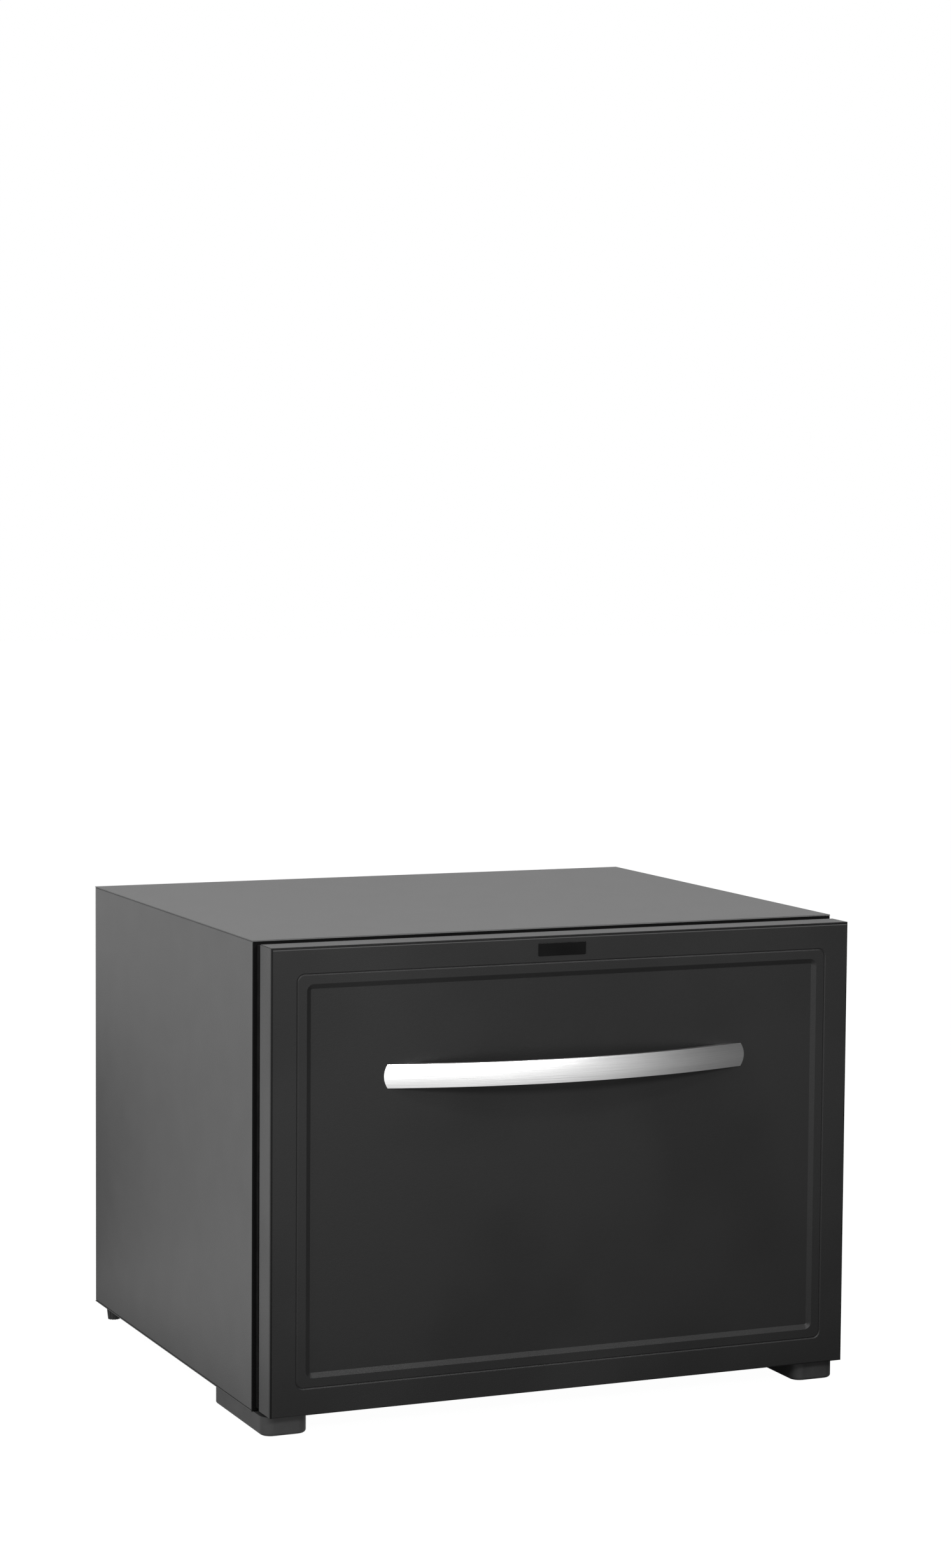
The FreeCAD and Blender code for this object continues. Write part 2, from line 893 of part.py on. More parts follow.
def fan_blade(hub_r, tip_r, y0, y1):
    """One blade: a pitched plate, wider towards its pointed tip."""
    mid_y = (y0 + y1) / 2
    pitch = math.radians(blade_pitch_deg)
    chord = (y1 - y0 - 2 * hub_gap - blade_t) / math.sin(pitch)
    root = blade_root_share * chord
    tip_x = chord * math.cos(pitch) / 2
    shoulder = math.sqrt(tip_r ** 2 - (tip_x + blade_t) ** 2)
    points = [
        (-root / 2, fan_z + hub_r - blade_t),
        (root / 2, fan_z + hub_r - blade_t),
        (chord / 2, fan_z + shoulder),
        (0, fan_z + tip_r),
        (-chord / 2, fan_z + shoulder),
    ]
    blade = prism_y(points, (mid_y - blade_t / 2, mid_y + blade_t / 2))
    blade.rotate(V(0, mid_y, fan_z), V(0, 0, 1), blade_pitch_deg)
    return blade


def rear_fan_ys():
    y1 = back_y - fan_gap
    return (y1 - rear_fan_t, y1)


def inner_fan_ys():
    y1 = cavity_y - cold_base_t - cold_fin_h
    return (y1 - inner_fan_t, y1)


# Air cover and what it carries

def cover_screw_places():
    x = cover_w / 2 + cover_flange / 2
    return [(-x, fan_z), (x, fan_z)]


def air_cover():
    """Moulded cover: fan grille in front, air outlets above and below, screw flanges."""
    half = cover_w / 2
    zs = (fan_z - cover_h / 2, fan_z + cover_h / 2)
    y0 = cover_front_y
    outer = bevelled(block((-half, half), (y0, cavity_y), zs), cover_bevel, along_depth)
    outer = bevelled(outer, cover_t / 2, lambda p, q: both("y", y0, p, q))
    inner = block(
        (-half + cover_t, half - cover_t),
        (y0 + cover_t, cavity_y + overrun),
        (zs[0] + cover_t, zs[1] - cover_t),
    )
    shell = outer.cut(bevelled(inner, cover_bevel, along_depth))
    flange = block(
        (-half - cover_flange, half + cover_flange), (cavity_y - cover_t, cavity_y), zs
    )
    flange = flange.cut(
        block((-half + cover_t, half - cover_t), (front_y, back_y), (base_z, top_z))
    )
    cover = fuse([shell, flange])
    cuts = []
    front_ys = (y0 - overrun, y0 + cover_t + overrun)
    grille_r = inner_fan_w / 2 - fan_rim
    rows = int((grille_r - slot_w) / slot_pitch)
    for i in range(-rows, rows + 1):
        dz = i * slot_pitch
        run = math.sqrt(grille_r ** 2 - (abs(dz) + slot_w / 2) ** 2)
        cuts.append(slot_y((-run, run), fan_z + dz, slot_w, front_ys))
    outlets = int(cold_w / outlet_pitch)
    outlet_ys = (cavity_y - cold_base_t - cold_fin_h, cavity_y - cold_base_t - cover_t)
    for i in range(outlets):
        x = (i - (outlets - 1) / 2) * outlet_pitch
        xs = (x - outlet_w / 2, x + outlet_w / 2)
        cuts.append(block(xs, outlet_ys, (zs[0] - overrun, zs[0] + cover_t + overrun)))
        cuts.append(block(xs, outlet_ys, (zs[1] - cover_t - overrun, zs[1] + overrun)))
    for x, z in cover_screw_places():
        cuts.append(shank_y(screw_r + screw_clear, x, z, (cavity_y - liner_r, cavity_y + overrun)))
    cuts.append(rod_y(knob_shaft_r + running_fit, knob_offset, fan_z, front_ys))
    return cover.cut(cuts)


def air_cover_screws():
    seat = cavity_y - cover_t
    return group([pan_screw_y(x, z, seat, cover_screw_l - cover_t, -1) for x, z in cover_screw_places()])


def thermostat_body():
    """Turning resistor behind the cover's front wall, bored for the knob's shaft."""
    y0 = cover_front_y + cover_t
    half = pot_w / 2
    body = block((knob_offset - half, knob_offset + half), (y0, y0 + pot_t), (fan_z - half, fan_z + half))
    bore = rod_y(knob_shaft_r + running_fit, knob_offset, fan_z, (y0 - overrun, y0 + pot_t / 2))
    return body.cut(bore)


def thermostat_knob():
    """Ribbed knob with a pointer groove; its shaft turns in the cover."""
    y1 = cover_front_y - seal_gap
    y0 = y1 - knob_t
    bevel = rib_share * knob_r
    rings = []
    for r, y in ((knob_r - bevel, y0), (knob_r, y0 + bevel), (knob_r, y1)):
        corners = star(knob_offset, fan_z, 0, r, knob_ribs)
        rings.append([V(c.x, y, c.y) for c in corners])
    knob = fuse([frustum(rings[0], rings[1]), frustum(rings[1], rings[2])])
    half = pointer_w / 2
    groove = block(
        (knob_offset - half, knob_offset + half),
        (y0 - overrun, y0 + half),
        (fan_z + knob_r / 4, fan_z + knob_r + overrun),
    )
    shaft_end = cover_front_y + cover_t + pot_t / 2 - seam
    shaft = rod_y(knob_shaft_r, knob_offset, fan_z, (y1 - overrun, shaft_end))
    return fuse([knob.cut(groove), shaft])


def lamp_lens():
    """Milky lens under the cavity's ceiling, hollow for the lamp board."""
    y0 = front_y + lamp_set_back
    outer = block((-lamp_w / 2, lamp_w / 2), (y0, y0 + lamp_d), (cav_high - lamp_h, cav_high))
    outer = rounded(outer, lamp_t, lambda p, q: both("z", cav_high - lamp_h, p, q))
    inner = block(
        (-lamp_w / 2 + lamp_t, lamp_w / 2 - lamp_t),
        (y0 + lamp_t, y0 + lamp_d - lamp_t),
        (cav_high - lamp_h + lamp_t, cav_high + overrun),
    )
    return outer.cut(inner)


def lamp_board():
    """Strip with three light-emitting chips."""
    y0 = front_y + lamp_set_back + lamp_t + seam
    y1 = front_y + lamp_set_back + lamp_d - lamp_t - seam
    half = lamp_w / 2 - lamp_t - seam
    parts = [block((-half, half), (y0, y1), (cav_high - board_t, cav_high))]
    chip = board_t * 2
    for i in (-1, 0, 1):
        x = i * half * 0.6
        zs = (cav_high - board_t * 1.6, cav_high - board_t)
        parts.append(block((x - chip / 2, x + chip / 2), ((y0 + y1 - chip) / 2, (y0 + y1 + chip) / 2), zs))
    return fuse(parts)


def reed_switch_body():
    """Sealed switch lying behind the liner's front lip."""
    z = cav_high + wall / 4
    y = front_y + liner_t + reed_half
    xs = (reed_offset - reed_l / 2, reed_offset + reed_l / 2)
    return block(xs, (y - reed_half, y + reed_half), (z - reed_half, z + reed_half))


def switch_magnet():
    """Bar magnet in the drawer front, over the switch."""
    z = cav_high + wall / 4
    y1 = pan_back_y - liner_t
    half = reed_l / 2
    return block((reed_offset - half, reed_offset + half), (y1 - 2 * reed_half, y1), (z - reed_half, z + reed_half))


# Rear bay electrics

def power_supply():
    """Sheet box with slotted lid on the bulkhead."""
    x0 = hot_w / 2 + (side_x - hot_w / 2 - psu_w) / 2
    y0 = bulk_y + steel_t
    z1 = fan_z + hot_h / 2
    z0 = z1 - psu_h
    box = block((x0, x0 + psu_w), (y0, y0 + psu_d), (z0, z1))
    inner = block(
        (x0 + steel_t, x0 + psu_w - steel_t),
        (y0 + steel_t, y0 + psu_d - steel_t),
        (z0 + steel_t, z1 - steel_t),
    )
    cuts = [inner]
    pitch = psu_h / (psu_slots + 2)
    for i in range(psu_slots):
        z = z0 + pitch * (i + 1.5)
        span = (x0 + psu_w / 4, x0 + psu_w * 3 / 4)
        cuts.append(slot_y(span, z, slot_w, (y0 + psu_d - steel_t - overrun, y0 + psu_d + overrun)))
    return box.cut(cuts)


def control_board():
    """Circuit board on four posts, with its relays, transformer and terminals."""
    x1 = -hot_w / 2 - (side_x - hot_w / 2 - control_w) / 2
    x0 = x1 - control_w
    y0 = bulk_y + steel_t
    y1 = y0 + standoff_h
    y2 = y1 + board_t
    z1 = fan_z + hot_h / 2
    z0 = z1 - control_h
    parts = [block((x0, x1), (y1, y2), (z0, z1))]
    margin = 2 * standoff_r
    for x in (x0 + margin, x1 - margin):
        for z in (z0 + margin, z1 - margin):
            parts.append(pocket_y(x, z, standoff_r, (y0, y1)))
    for share, size_share, tall_share in relay_shares:
        x = x0 + share[0] * control_w
        z = z0 + share[1] * control_h
        half_x = size_share[0] * control_w / 2
        half_z = size_share[1] * control_h / 2
        tall = tall_share * control_h
        parts.append(block((x - half_x, x + half_x), (y2, y2 + tall), (z - half_z, z + half_z)))
    return fuse(parts)


def gland_place():
    return (side_x - gland_inset_x, base_z + gland_rise)


def cord_gland():
    """Bush for the mains cord, pushed into the rear cover up to its collar."""
    x, z = gland_place()
    out = back_y + rear_cover_t
    inner_end = out + gland_collar_t - gland_l
    sleeve = prism_y(ring_points(gland_r, x, z, gland_sides), (inner_end, out))
    collar_points = ring_points(gland_collar_r, x, z, gland_sides)
    collar = prism_y(collar_points, (out, out + gland_collar_t))
    bore = rod_y(cord_r, x, z, (back_y - gland_l, out + gland_l))
    return fuse([sleeve, collar]).cut(bore)


# Runners

def runner_screw_places():
    return [(runner_y + share * runner_l, runner_z) for share in runner_screw_shares]


def channel(web_s, edge_s, half_h, lip, start_y, length):
    """A C-shaped rolled member; s runs from the cavity's left wall to the drawer."""
    t = runner_t
    way = 1 if edge_s > web_s else -1
    far = web_s + way * t
    bent = edge_s - way * t
    flange = [(edge_s, half_h), (edge_s, half_h - t), (far, half_h - t)]
    if lip:
        flange[1:2] = [(edge_s, half_h - lip), (bent, half_h - lip), (bent, half_h - t)]
    upper = [(web_s, half_h)] + flange
    points = upper + [(s, -h) for s, h in reversed(upper)]
    placed = [(-cav_x + s, runner_z + h) for s, h in points]
    return prism_y(placed, (start_y, start_y + length))


def sink_hole(y, z):
    """Countersunk hole through the outer member's web."""
    r = screw_r + screw_clear
    return shank_x(r, y, z, (-cav_x, -cav_x + runner_t), r + runner_t)


def runner_outer():
    """Member screwed to the liner."""
    member = channel(0, outer_edge, runner_h / 2, outer_lip, runner_y, runner_l)
    return member.cut([sink_hole(y, z) for y, z in runner_screw_places()])


def runner_middle():
    """Member that floats between the other two."""
    return channel(middle_web, middle_edge, middle_half, middle_lip, runner_y, runner_l)


def runner_inner():
    """Member riveted to the drawer arm."""
    return channel(runner_w, inner_edge, inner_half, 0, runner_y, runner_l)


def glide(s_strip, s_pads, low, high, start_y):
    """A moulded glide: two pads joined by a thin strip."""
    strip = block(
        (-cav_x + s_strip[0], -cav_x + s_strip[1]),
        (start_y, start_y + glide_l),
        (runner_z - high, runner_z + high),
    )
    parts = [strip]
    for way in (-1, 1):
        zs = (runner_z + way * low, runner_z + way * high)
        parts.append(
            block(
                (-cav_x + s_pads[0], -cav_x + s_pads[1]),
                (start_y, start_y + glide_l),
                (min(zs), max(zs)),
            )
        )
    return fuse(parts)


def outer_glide():
    """Fixed in the front of the outer member."""
    strip = (runner_t, middle_web - glide_gap)
    pads = (runner_t, outer_edge - runner_t)
    low = middle_half + glide_gap
    return glide(strip, pads, low, runner_h / 2 - runner_t, runner_y)


def middle_rear_glide():
    """Fixed outside the rear of the middle member, runs in the outer one."""
    strip = (runner_t + glide_gap, middle_web)
    pads = (runner_t + glide_gap, outer_edge - runner_t - glide_gap)
    high = runner_h / 2 - runner_t - glide_gap
    return glide(strip, pads, middle_half, high, runner_y + runner_l - glide_l)


def middle_front_glide():
    """Fixed inside the front of the middle member."""
    web = middle_web + runner_t
    strip = (web, inner_edge - glide_gap)
    pads = (web, middle_edge - runner_t)
    low = inner_half + glide_gap
    return glide(strip, pads, low, middle_half - runner_t, runner_y)


def inner_glide():
    """Fixed outside the rear of the inner member, runs in the middle one."""
    web = middle_web + runner_t + glide_gap
    strip = (web, inner_edge)
    pads = (web, middle_edge - runner_t - glide_gap)
    high = middle_half - runner_t - glide_gap
    return glide(strip, pads, inner_half, high, runner_y + runner_l - glide_l)


def runner_screws():
    """Countersunk screws of both outer members, into the foam's backing."""
    screws = []
    for y, z in runner_screw_places():
        head = shank_x(screw_r, y, z, (-cav_x, -cav_x + runner_t), screw_r + runner_t)
        shank = shank_x(screw_r, y, z, (-cav_x - runner_screw_l + screw_clear, -cav_x), screw_r)
        screw = fuse([head, shank])
        screws.append(screw)
        screws.append(mirrored(screw))
    return group(screws)


# Drawer arms

def arm_zs():
    half = runner_h / 2 + arm_over
    return (runner_z - half, runner_z + half)


def arm_screw_places():
    z0, z1 = arm_zs()
    x = arm_x - arm_t - arm_tab / 2
    return [(x, z0 + share * (z1 - z0)) for share in arm_screw_shares]


def drawer_arm():
    """Left arm: an upright strip beside the runner with a tab on the drawer front."""
    x0 = -arm_x
    zs = arm_zs()
    strip = block((x0, x0 + arm_t), (plinth_y, runner_y + runner_l), zs)
    tab = block((x0, x0 + arm_t + arm_tab), (plinth_y, plinth_y + arm_t), zs)
    arm = fuse([strip, tab])
    arm = rounded(
        arm, arm_bend, lambda p, q: both("x", x0, p, q) and both("y", plinth_y, p, q)
    )
    cuts = []
    for x, z in arm_screw_places():
        cuts.append(shank_y(screw_r + screw_clear, -x, z, (plinth_y - overrun, plinth_y + arm_t + overrun)))
    through = (x0 - overrun, x0 + arm_t + overrun)
    for start, end in window_shares:
        ys = (runner_y + start * runner_l, runner_y + end * runner_l)
        cuts.append(block(through, ys, (zs[0] + window_rail, zs[1] - window_rail)))
    return arm.cut(cuts)


def arm_screws():
    """Screws of both arms into the drawer front."""
    screws = []
    for x, z in arm_screw_places():
        screw = pan_screw_y(x, z, plinth_y + arm_t, arm_screw_l, 1)
        screws.append(screw)
        screws.append(mirrored(screw))
    return group(screws)


# Drawer front

def inset_rect(inset):
    """A rectangle set in from the edges of the drawer front."""
    return (-front_x + inset, front_x - inset), (front_low + inset, front_high - inset)


def cabinet_rect(inset):
    """A rectangle set in from the edges of the cabinet."""
    return (-side_x + inset, side_x - inset), (base_z + inset, top_z - inset)


def drawer_front_panel():
    """Pressed steel pan: engraved line, recessed panel, corner seams."""
    xs, zs = inset_rect(0)
    pan = block(xs, (face_y, pan_back_y), zs)
    pan = rounded(pan, front_r, lambda p, q: both("y", face_y, p, q))
    skin_y = face_y + steel_t
    in_xs, in_zs = inset_rect(steel_t)
    room = block(in_xs, (skin_y, pan_back_y + overrun), in_zs)
    back_xs, back_zs = inset_rect(recess_inset - steel_t)
    room = room.cut(block(back_xs, (skin_y, skin_y + recess_depth), back_zs))
    out_xs, out_zs = inset_rect(recess_inset)
    deep_xs, deep_zs = inset_rect(recess_inset + recess_bevel)
    well = taper(out_xs, out_zs, recess_r, face_y, deep_xs, deep_zs, recess_inner_r, panel_y)
    mouth = plate(out_xs, out_zs, recess_r, (face_y - overrun, face_y))
    pan = pan.cut([room, fuse([well, mouth]), engraved_line()])
    holes = []
    for side in (-1, 1):
        x = side * handle_hole_span / 2
        holes.append(shank_y(screw_r + screw_clear, x, handle_z, (face_y, skin_y + 2 * recess_depth)))
    slits = []
    reach_in = 2 * front_r
    for sx in (-1, 1):
        for sz in (-1, 1):
            x = sx * front_x
            z = front_high if sz > 0 else front_low
            slit = block(
                (-reach_in, reach_in),
                (face_y + 2 * front_r, pan_back_y + overrun),
                (-corner_slit / 2, corner_slit / 2),
            )
            slit.rotate(V(0, 0, 0), V(0, 1, 0), -45 * sx * sz)
            slit.translate(V(x, 0, z))
            slits.append(slit)
    return pan.cut(holes + slits)


def engraved_line():
    """Ring of triangular section that cuts the V-shaped line."""
    xs, zs = inset_rect(line_inset)
    path = outline(xs, zs, line_r, face_y)
    x = xs[0] + line_r
    z = zs[0]
    lift = line_depth
    half = line_w / 2
    slope = half * (1 + lift / line_depth)
    corners = [V(x, face_y - lift, z - slope), V(x, face_y + line_depth, z), V(x, face_y - lift, z + slope)]
    profile = Part.makePolygon(corners + corners[:1])
    return path.makePipeShell([profile], True, True)


def plinth():
    """Raised inner face that enters the cavity."""
    xs0, zs0 = cabinet_rect(plinth_inset)
    xs1, zs1 = cabinet_rect(plinth_inset + plinth_draft)
    return taper(xs0, zs0, plinth_r, pan_back_y, xs1, zs1, plinth_r, plinth_y)


def plinth_hollow():
    """Room inside the plinth that the foam fills, with bevelled corners."""
    rings = []
    for inset, y in ((0, pan_back_y - liner_t), (plinth_draft, plinth_y - liner_t)):
        (x0, x1), (z0, z1) = cabinet_rect(plinth_inset + inset + liner_t)
        c = plinth_bevel
        flat = [(x0 + c, z0), (x1 - c, z0), (x1, z0 + c), (x1, z1 - c)]
        flat += [(x1 - c, z1), (x0 + c, z1), (x0, z1 - c), (x0, z0 + c)]
        rings.append([V(x, y, z) for x, z in flat])
    return frustum(rings[0], rings[1])


def drawer_front_liner():
    """Moulded inner face of the drawer front with its raised plinth."""
    xs, zs = inset_rect(steel_t)
    flange_y = pan_back_y - liner_t
    flange = block(xs, (flange_y, pan_back_y), zs)
    liner = fuse([flange, plinth()]).cut(plinth_hollow())
    cuts = []
    for side in (-1, 1):
        for x, z in arm_screw_places():
            cuts.append(shank_y(screw_r + screw_clear, side * x, z, (flange_y, plinth_y + overrun)))
    return liner.cut(cuts)


def drawer_front_insulation():
    """Foam in the drawer front."""
    skin_y = face_y + steel_t
    xs, zs = inset_rect(steel_t)
    flange_y = pan_back_y - liner_t
    foam = block(xs, (skin_y, flange_y), zs)
    back_xs, back_zs = inset_rect(recess_inset - steel_t)
    foam = foam.cut(block(back_xs, (skin_y, skin_y + recess_depth), back_zs))
    foam = fuse([foam, plinth_hollow()])
    cuts = [switch_magnet()]
    for side in (-1, 1):
        for x, z in arm_screw_places():
            r = screw_r + screw_clear
            cuts.append(pocket_y(side * x, z, r, (plinth_y - arm_screw_l, plinth_y)))
        x = side * handle_hole_span / 2
        head_y = panel_y + steel_t
        r = screw_head_r + screw_clear
        cuts.append(pocket_y(x, handle_z, r, (head_y, head_y + screw_head_t)))
    return foam.cut(cuts)


def gasket_ring(inset, width, ys):
    """A rectangular ring of the gasket's section, welded square at its corners."""
    xs, zs = cabinet_rect(inset)
    in_xs, in_zs = cabinet_rect(inset + width)
    hole = block(in_xs, (ys[0] - overrun, ys[1] + overrun), in_zs)
    return block(xs, ys, zs).cut(hole)


def gasket_chamber():
    """Inset and depth span of the chamber that holds the magnets."""
    inset = gasket_inset + (gasket_w - magnet_w) / 2
    far = front_y - seal_gap - (gasket_head_t - magnet_t) / 2
    return inset, (far - magnet_t, far)


def drawer_gasket():
    """Flexible seal: a base on the drawer front, a pleated neck, a hollow head."""
    y0 = pan_back_y
    y1 = front_y - seal_gap
    base = gasket_ring(gasket_inset, gasket_w, (y0, y0 + gasket_base_t))
    neck_w = gasket_w - 2 * gasket_neck_in
    neck = gasket_ring(gasket_inset + gasket_neck_in, neck_w, (y0, y1))
    head = gasket_ring(gasket_inset, gasket_w, (y1 - gasket_head_t, y1))
    inset, ys = gasket_chamber()
    return fuse([base, neck, head]).cut(gasket_ring(inset, magnet_w, ys))


def gasket_magnets():
    """Four flexible magnet bars in the head of the gasket."""
    inset, ys = gasket_chamber()
    xs, zs = cabinet_rect(inset)
    side_zs = (zs[0] + magnet_w + seam, zs[1] - magnet_w - seam)
    bars = [
        block(xs, ys, (zs[0], zs[0] + magnet_w)),
        block(xs, ys, (zs[1] - magnet_w, zs[1])),
        block((xs[0], xs[0] + magnet_w), ys, side_zs),
        block((xs[1] - magnet_w, xs[1]), ys, side_zs),
    ]
    return group(bars)


def bow_radius(half_chord, rise):
    """Radius of an arch over a chord."""
    return (half_chord ** 2 + rise ** 2) / (2 * rise)


def drawer_handle():
    """Arched bar with a domed face, thick at its ends, where it meets the panel."""
    half = handle_l / 2
    front_radius = bow_radius(half, handle_bow)
    centre_y = panel_y - handle_bow + front_radius
    low = handle_z - handle_h / 2
    high = handle_z + handle_h / 2
    edge_r = front_radius - handle_dome
    start_r = front_radius - 2 * handle_bow
    section = Part.Wire(
        [
            Part.LineSegment(V(0, centre_y - start_r, low), V(0, centre_y - edge_r, low)).toShape(),
            Part.Arc(
                V(0, centre_y - edge_r, low),
                V(0, centre_y - front_radius, handle_z),
                V(0, centre_y - edge_r, high),
            ).toShape(),
            Part.LineSegment(V(0, centre_y - edge_r, high), V(0, centre_y - start_r, high)).toShape(),
            Part.LineSegment(V(0, centre_y - start_r, high), V(0, centre_y - start_r, low)).toShape(),
        ]
    )
    sweep = math.degrees(math.asin(half / front_radius)) * 1.2
    ring = Part.Face(section).revolve(V(0, centre_y, 0), V(0, 0, 1), 2 * sweep)
    ring.rotate(V(0, centre_y, 0), V(0, 0, 1), -sweep)
    back_half = half - handle_pad
    back_rise = handle_bow - handle_t
    back_radius = bow_radius(back_half, back_rise)
    back_y0 = panel_y - back_rise + back_radius
    inner = rod_z(back_radius, 0, back_y0, (low - overrun, high + overrun))
    wanted = block((-handle_l, handle_l), (panel_y - 2 * handle_bow, panel_y), (low, high))
    bar = ring.common(wanted).cut(inner)
    holes = []
    for side in (-1, 1):
        x = side * handle_hole_span / 2
        ys = (panel_y - handle_thread_l, panel_y + overrun)
        holes.append(shank_y(screw_r + running_fit, x, handle_z, ys))
    return bar.cut(holes)


def handle_screws():
    """Screws from inside the pan into the ends of the handle."""
    seat = panel_y + steel_t
    length = steel_t + handle_thread_l - seal_gap
    screws = []
    for side in (-1, 1):
        screws.append(pan_screw_y(side * handle_hole_span / 2, handle_z, seat, length, 1))
    return group(screws)


def name_plate():
    """Small bare plate on the frame above the recess."""
    z = top_z - plate_drop
    xs = (plate_shift - plate_w / 2, plate_shift + plate_w / 2)
    return block(xs, (face_y - plate_t, face_y), (z - plate_h / 2, z + plate_h / 2))


# Drawer bin

def tub(low_spans, low_z, high_spans, high_z, r):
    """A drafted block with flat walls and rounded upright edges."""
    (low_xs, low_ys), (high_xs, high_ys) = low_spans, high_spans
    body = Part.makeWedge(
        low_xs[0], low_z, -low_ys[1], -high_ys[1], high_xs[0],
        low_xs[1], high_z, -low_ys[0], -high_ys[0], high_xs[1],
    )
    body.rotate(V(0, 0, 0), V(1, 0, 0), 90)
    return rounded(body, r, lambda p, q: not near(p.z, q.z))


def bin_spans(wall_in, z_share):
    """Plan of the bin at a share of its height, set in by a wall."""
    shrink = bin_draft * (1 - z_share) + wall_in
    half = arm_x - arm_t - bin_gap - shrink
    y0 = plinth_y + arm_t + screw_head_t + bin_gap + shrink
    y1 = cover_front_y - knob_t - bin_back_gap - shrink
    return (-half, half), (y0, y1)


def drawer_bin():
    """Moulded tub that hangs by its rim on the arms."""
    low = cav_low + bin_clear
    rim_low = arm_zs()[1] + seal_gap
    top = rim_low + bin_rim_t
    outer = tub(bin_spans(0, 0), low, bin_spans(0, 1), top, bin_r)
    inner = tub(bin_spans(bin_t, 0), low + bin_t, bin_spans(bin_t, 1), top, bin_r - bin_t)
    xs, ys = bin_spans(0, 1)
    rims = []
    for side in (-1, 1):
        inner_x = side * (xs[1] - bin_t / 2)
        outer_x = side * (xs[1] + bin_rim)
        span = (min(inner_x, outer_x), max(inner_x, outer_x))
        rims.append(block(span, (ys[0] + bin_r, ys[1] - bin_r), (rim_low, top)))
        edge = side * (xs[1] + bin_rim - bin_rim_t)
        lip = (min(edge, outer_x), max(edge, outer_x))
        rims.append(block(lip, (ys[0] + bin_r, ys[1] - bin_r), (rim_low - bin_rim_drop, top)))
    shell = fuse([outer] + rims).cut(inner)
    ribs = []
    floor_xs, floor_ys = bin_spans(bin_t, 0)
    pitch = (floor_ys[1] - floor_ys[0]) / (floor_ribs + 1)
    for i in range(floor_ribs):
        y = floor_ys[0] + pitch * (i + 1)
        if abs(y - divider_y()) < divider_t + floor_rib_w:
            continue
        ribs.append(
            block(
                (floor_xs[0] + bin_r, floor_xs[1] - bin_r),
                (y - floor_rib_w / 2, y + floor_rib_w / 2),
                (low + bin_t / 2, low + bin_t + floor_rib_h),
            )
        )
    return fuse([shell] + ribs)


def divider_y():
    _, ys = bin_spans(bin_t, 0)
    return ys[0] + divider_share * (ys[1] - ys[0])


def bin_divider():
    """Cross wall of the bin, hollowed along its top for bottle necks."""
    low = cav_low + bin_clear + bin_t + seal_gap
    rim = arm_zs()[1] + seal_gap + bin_rim_t
    bottom_xs, _ = bin_spans(bin_t + seal_gap, 0)
    top_xs, _ = bin_spans(bin_t + seal_gap, 1)
    points = [
        (bottom_xs[0], low),
        (bottom_xs[1], low),
        (top_xs[1], rim - seal_gap),
        (top_xs[0], rim - seal_gap),
    ]
    y = divider_y()
    ys = (y - divider_t / 2, y + divider_t / 2)
    sheet = prism_y(points, ys)
    cuts = []
    pitch = (top_xs[1] - top_xs[0]) / neck_count
    for i in range(neck_count):
        x = top_xs[0] + pitch * (i + 0.5)
        cuts.append(rod_y(neck_r, x, rim, (ys[0] - overrun, ys[1] + overrun)))
    return sheet.cut(cuts)


def export(name, shape):
    """Writes one piece and prints what it is made of."""
    shape.exportStep("parts/" + name + ".step")
    print(name, len(shape.Solids), round(shape.Volume), shape.isValid())


os.makedirs("parts", exist_ok=True)

side = side_panel()
export("side_panel_left", side)
export("side_panel_right", mirrored(side))
export("top_panel", top_panel())
export("base_panel", base_panel())
export("rear_bulkhead", rear_bulkhead())
export("rear_cover", rear_cover())
export("rear_cover_screws", rear_cover_screws())
export("cabinet_insulation", cabinet_insulation())
export("inner_liner", inner_liner())

foot = front_foot()
export("front_foot_left", foot)
export("front_foot_right", mirrored(foot))
export("front_foot_screws", front_foot_screws())
export("rear_foot_left", rear_foot(rear_foot_places()[0]))
export("rear_foot_right", rear_foot(rear_foot_places()[1]))
export("rear_foot_inserts", rear_foot_inserts())

export("thermoelectric_module", thermoelectric_module())
export("cold_block", cold_block())
export("cold_sink", cold_sink())
export("hot_sink", hot_sink())
export("clamp_screws", clamp_screws())
export("rear_fan_frame", rear_fan_frame())
export("rear_fan_rotor", fan_rotor(rear_fan_w, rear_fan_ys()))
export("inner_fan_frame", fan_frame(inner_fan_w, inner_fan_ys()))
export("inner_fan_rotor", fan_rotor(inner_fan_w, inner_fan_ys()))
export("air_cover", air_cover())
export("air_cover_screws", air_cover_screws())
export("thermostat_body", thermostat_body())
export("thermostat_knob", thermostat_knob())
export("lamp_lens", lamp_lens())
export("lamp_board", lamp_board())
export("reed_switch", reed_switch_body())
export("power_supply", power_supply())
export("control_board", control_board())
export("cord_gland", cord_gland())

outer = runner_outer()
export("runner_outer_left", outer)
export("runner_outer_right", mirrored(outer))
export("runner_outer_glides", group([outer_glide(), mirrored(outer_glide())]))
export("runner_screws", runner_screws())
middle = runner_middle()
export("runner_middle_left", middle)
export("runner_middle_right", mirrored(middle))
middle_glides = [middle_front_glide(), middle_rear_glide()]
export("runner_middle_glides_left", group(middle_glides))
export("runner_middle_glides_right", group([mirrored(g) for g in middle_glides]))
inner = runner_inner()
export("runner_inner_left", inner)
export("runner_inner_right", mirrored(inner))
export("runner_inner_glides", group([inner_glide(), mirrored(inner_glide())]))

arm = drawer_arm()
export("drawer_arm_left", arm)
export("drawer_arm_right", mirrored(arm))
export("arm_screws", arm_screws())
export("drawer_front_panel", drawer_front_panel())
export("drawer_front_insulation", drawer_front_insulation())
export("drawer_front_liner", drawer_front_liner())
export("drawer_gasket", drawer_gasket())
export("gasket_magnets", gasket_magnets())
export("switch_magnet", switch_magnet())
export("drawer_handle", drawer_handle())
export("handle_screws", handle_screws())
export("name_plate", name_plate())
export("drawer_bin", drawer_bin())
export("bin_divider", bin_divider())
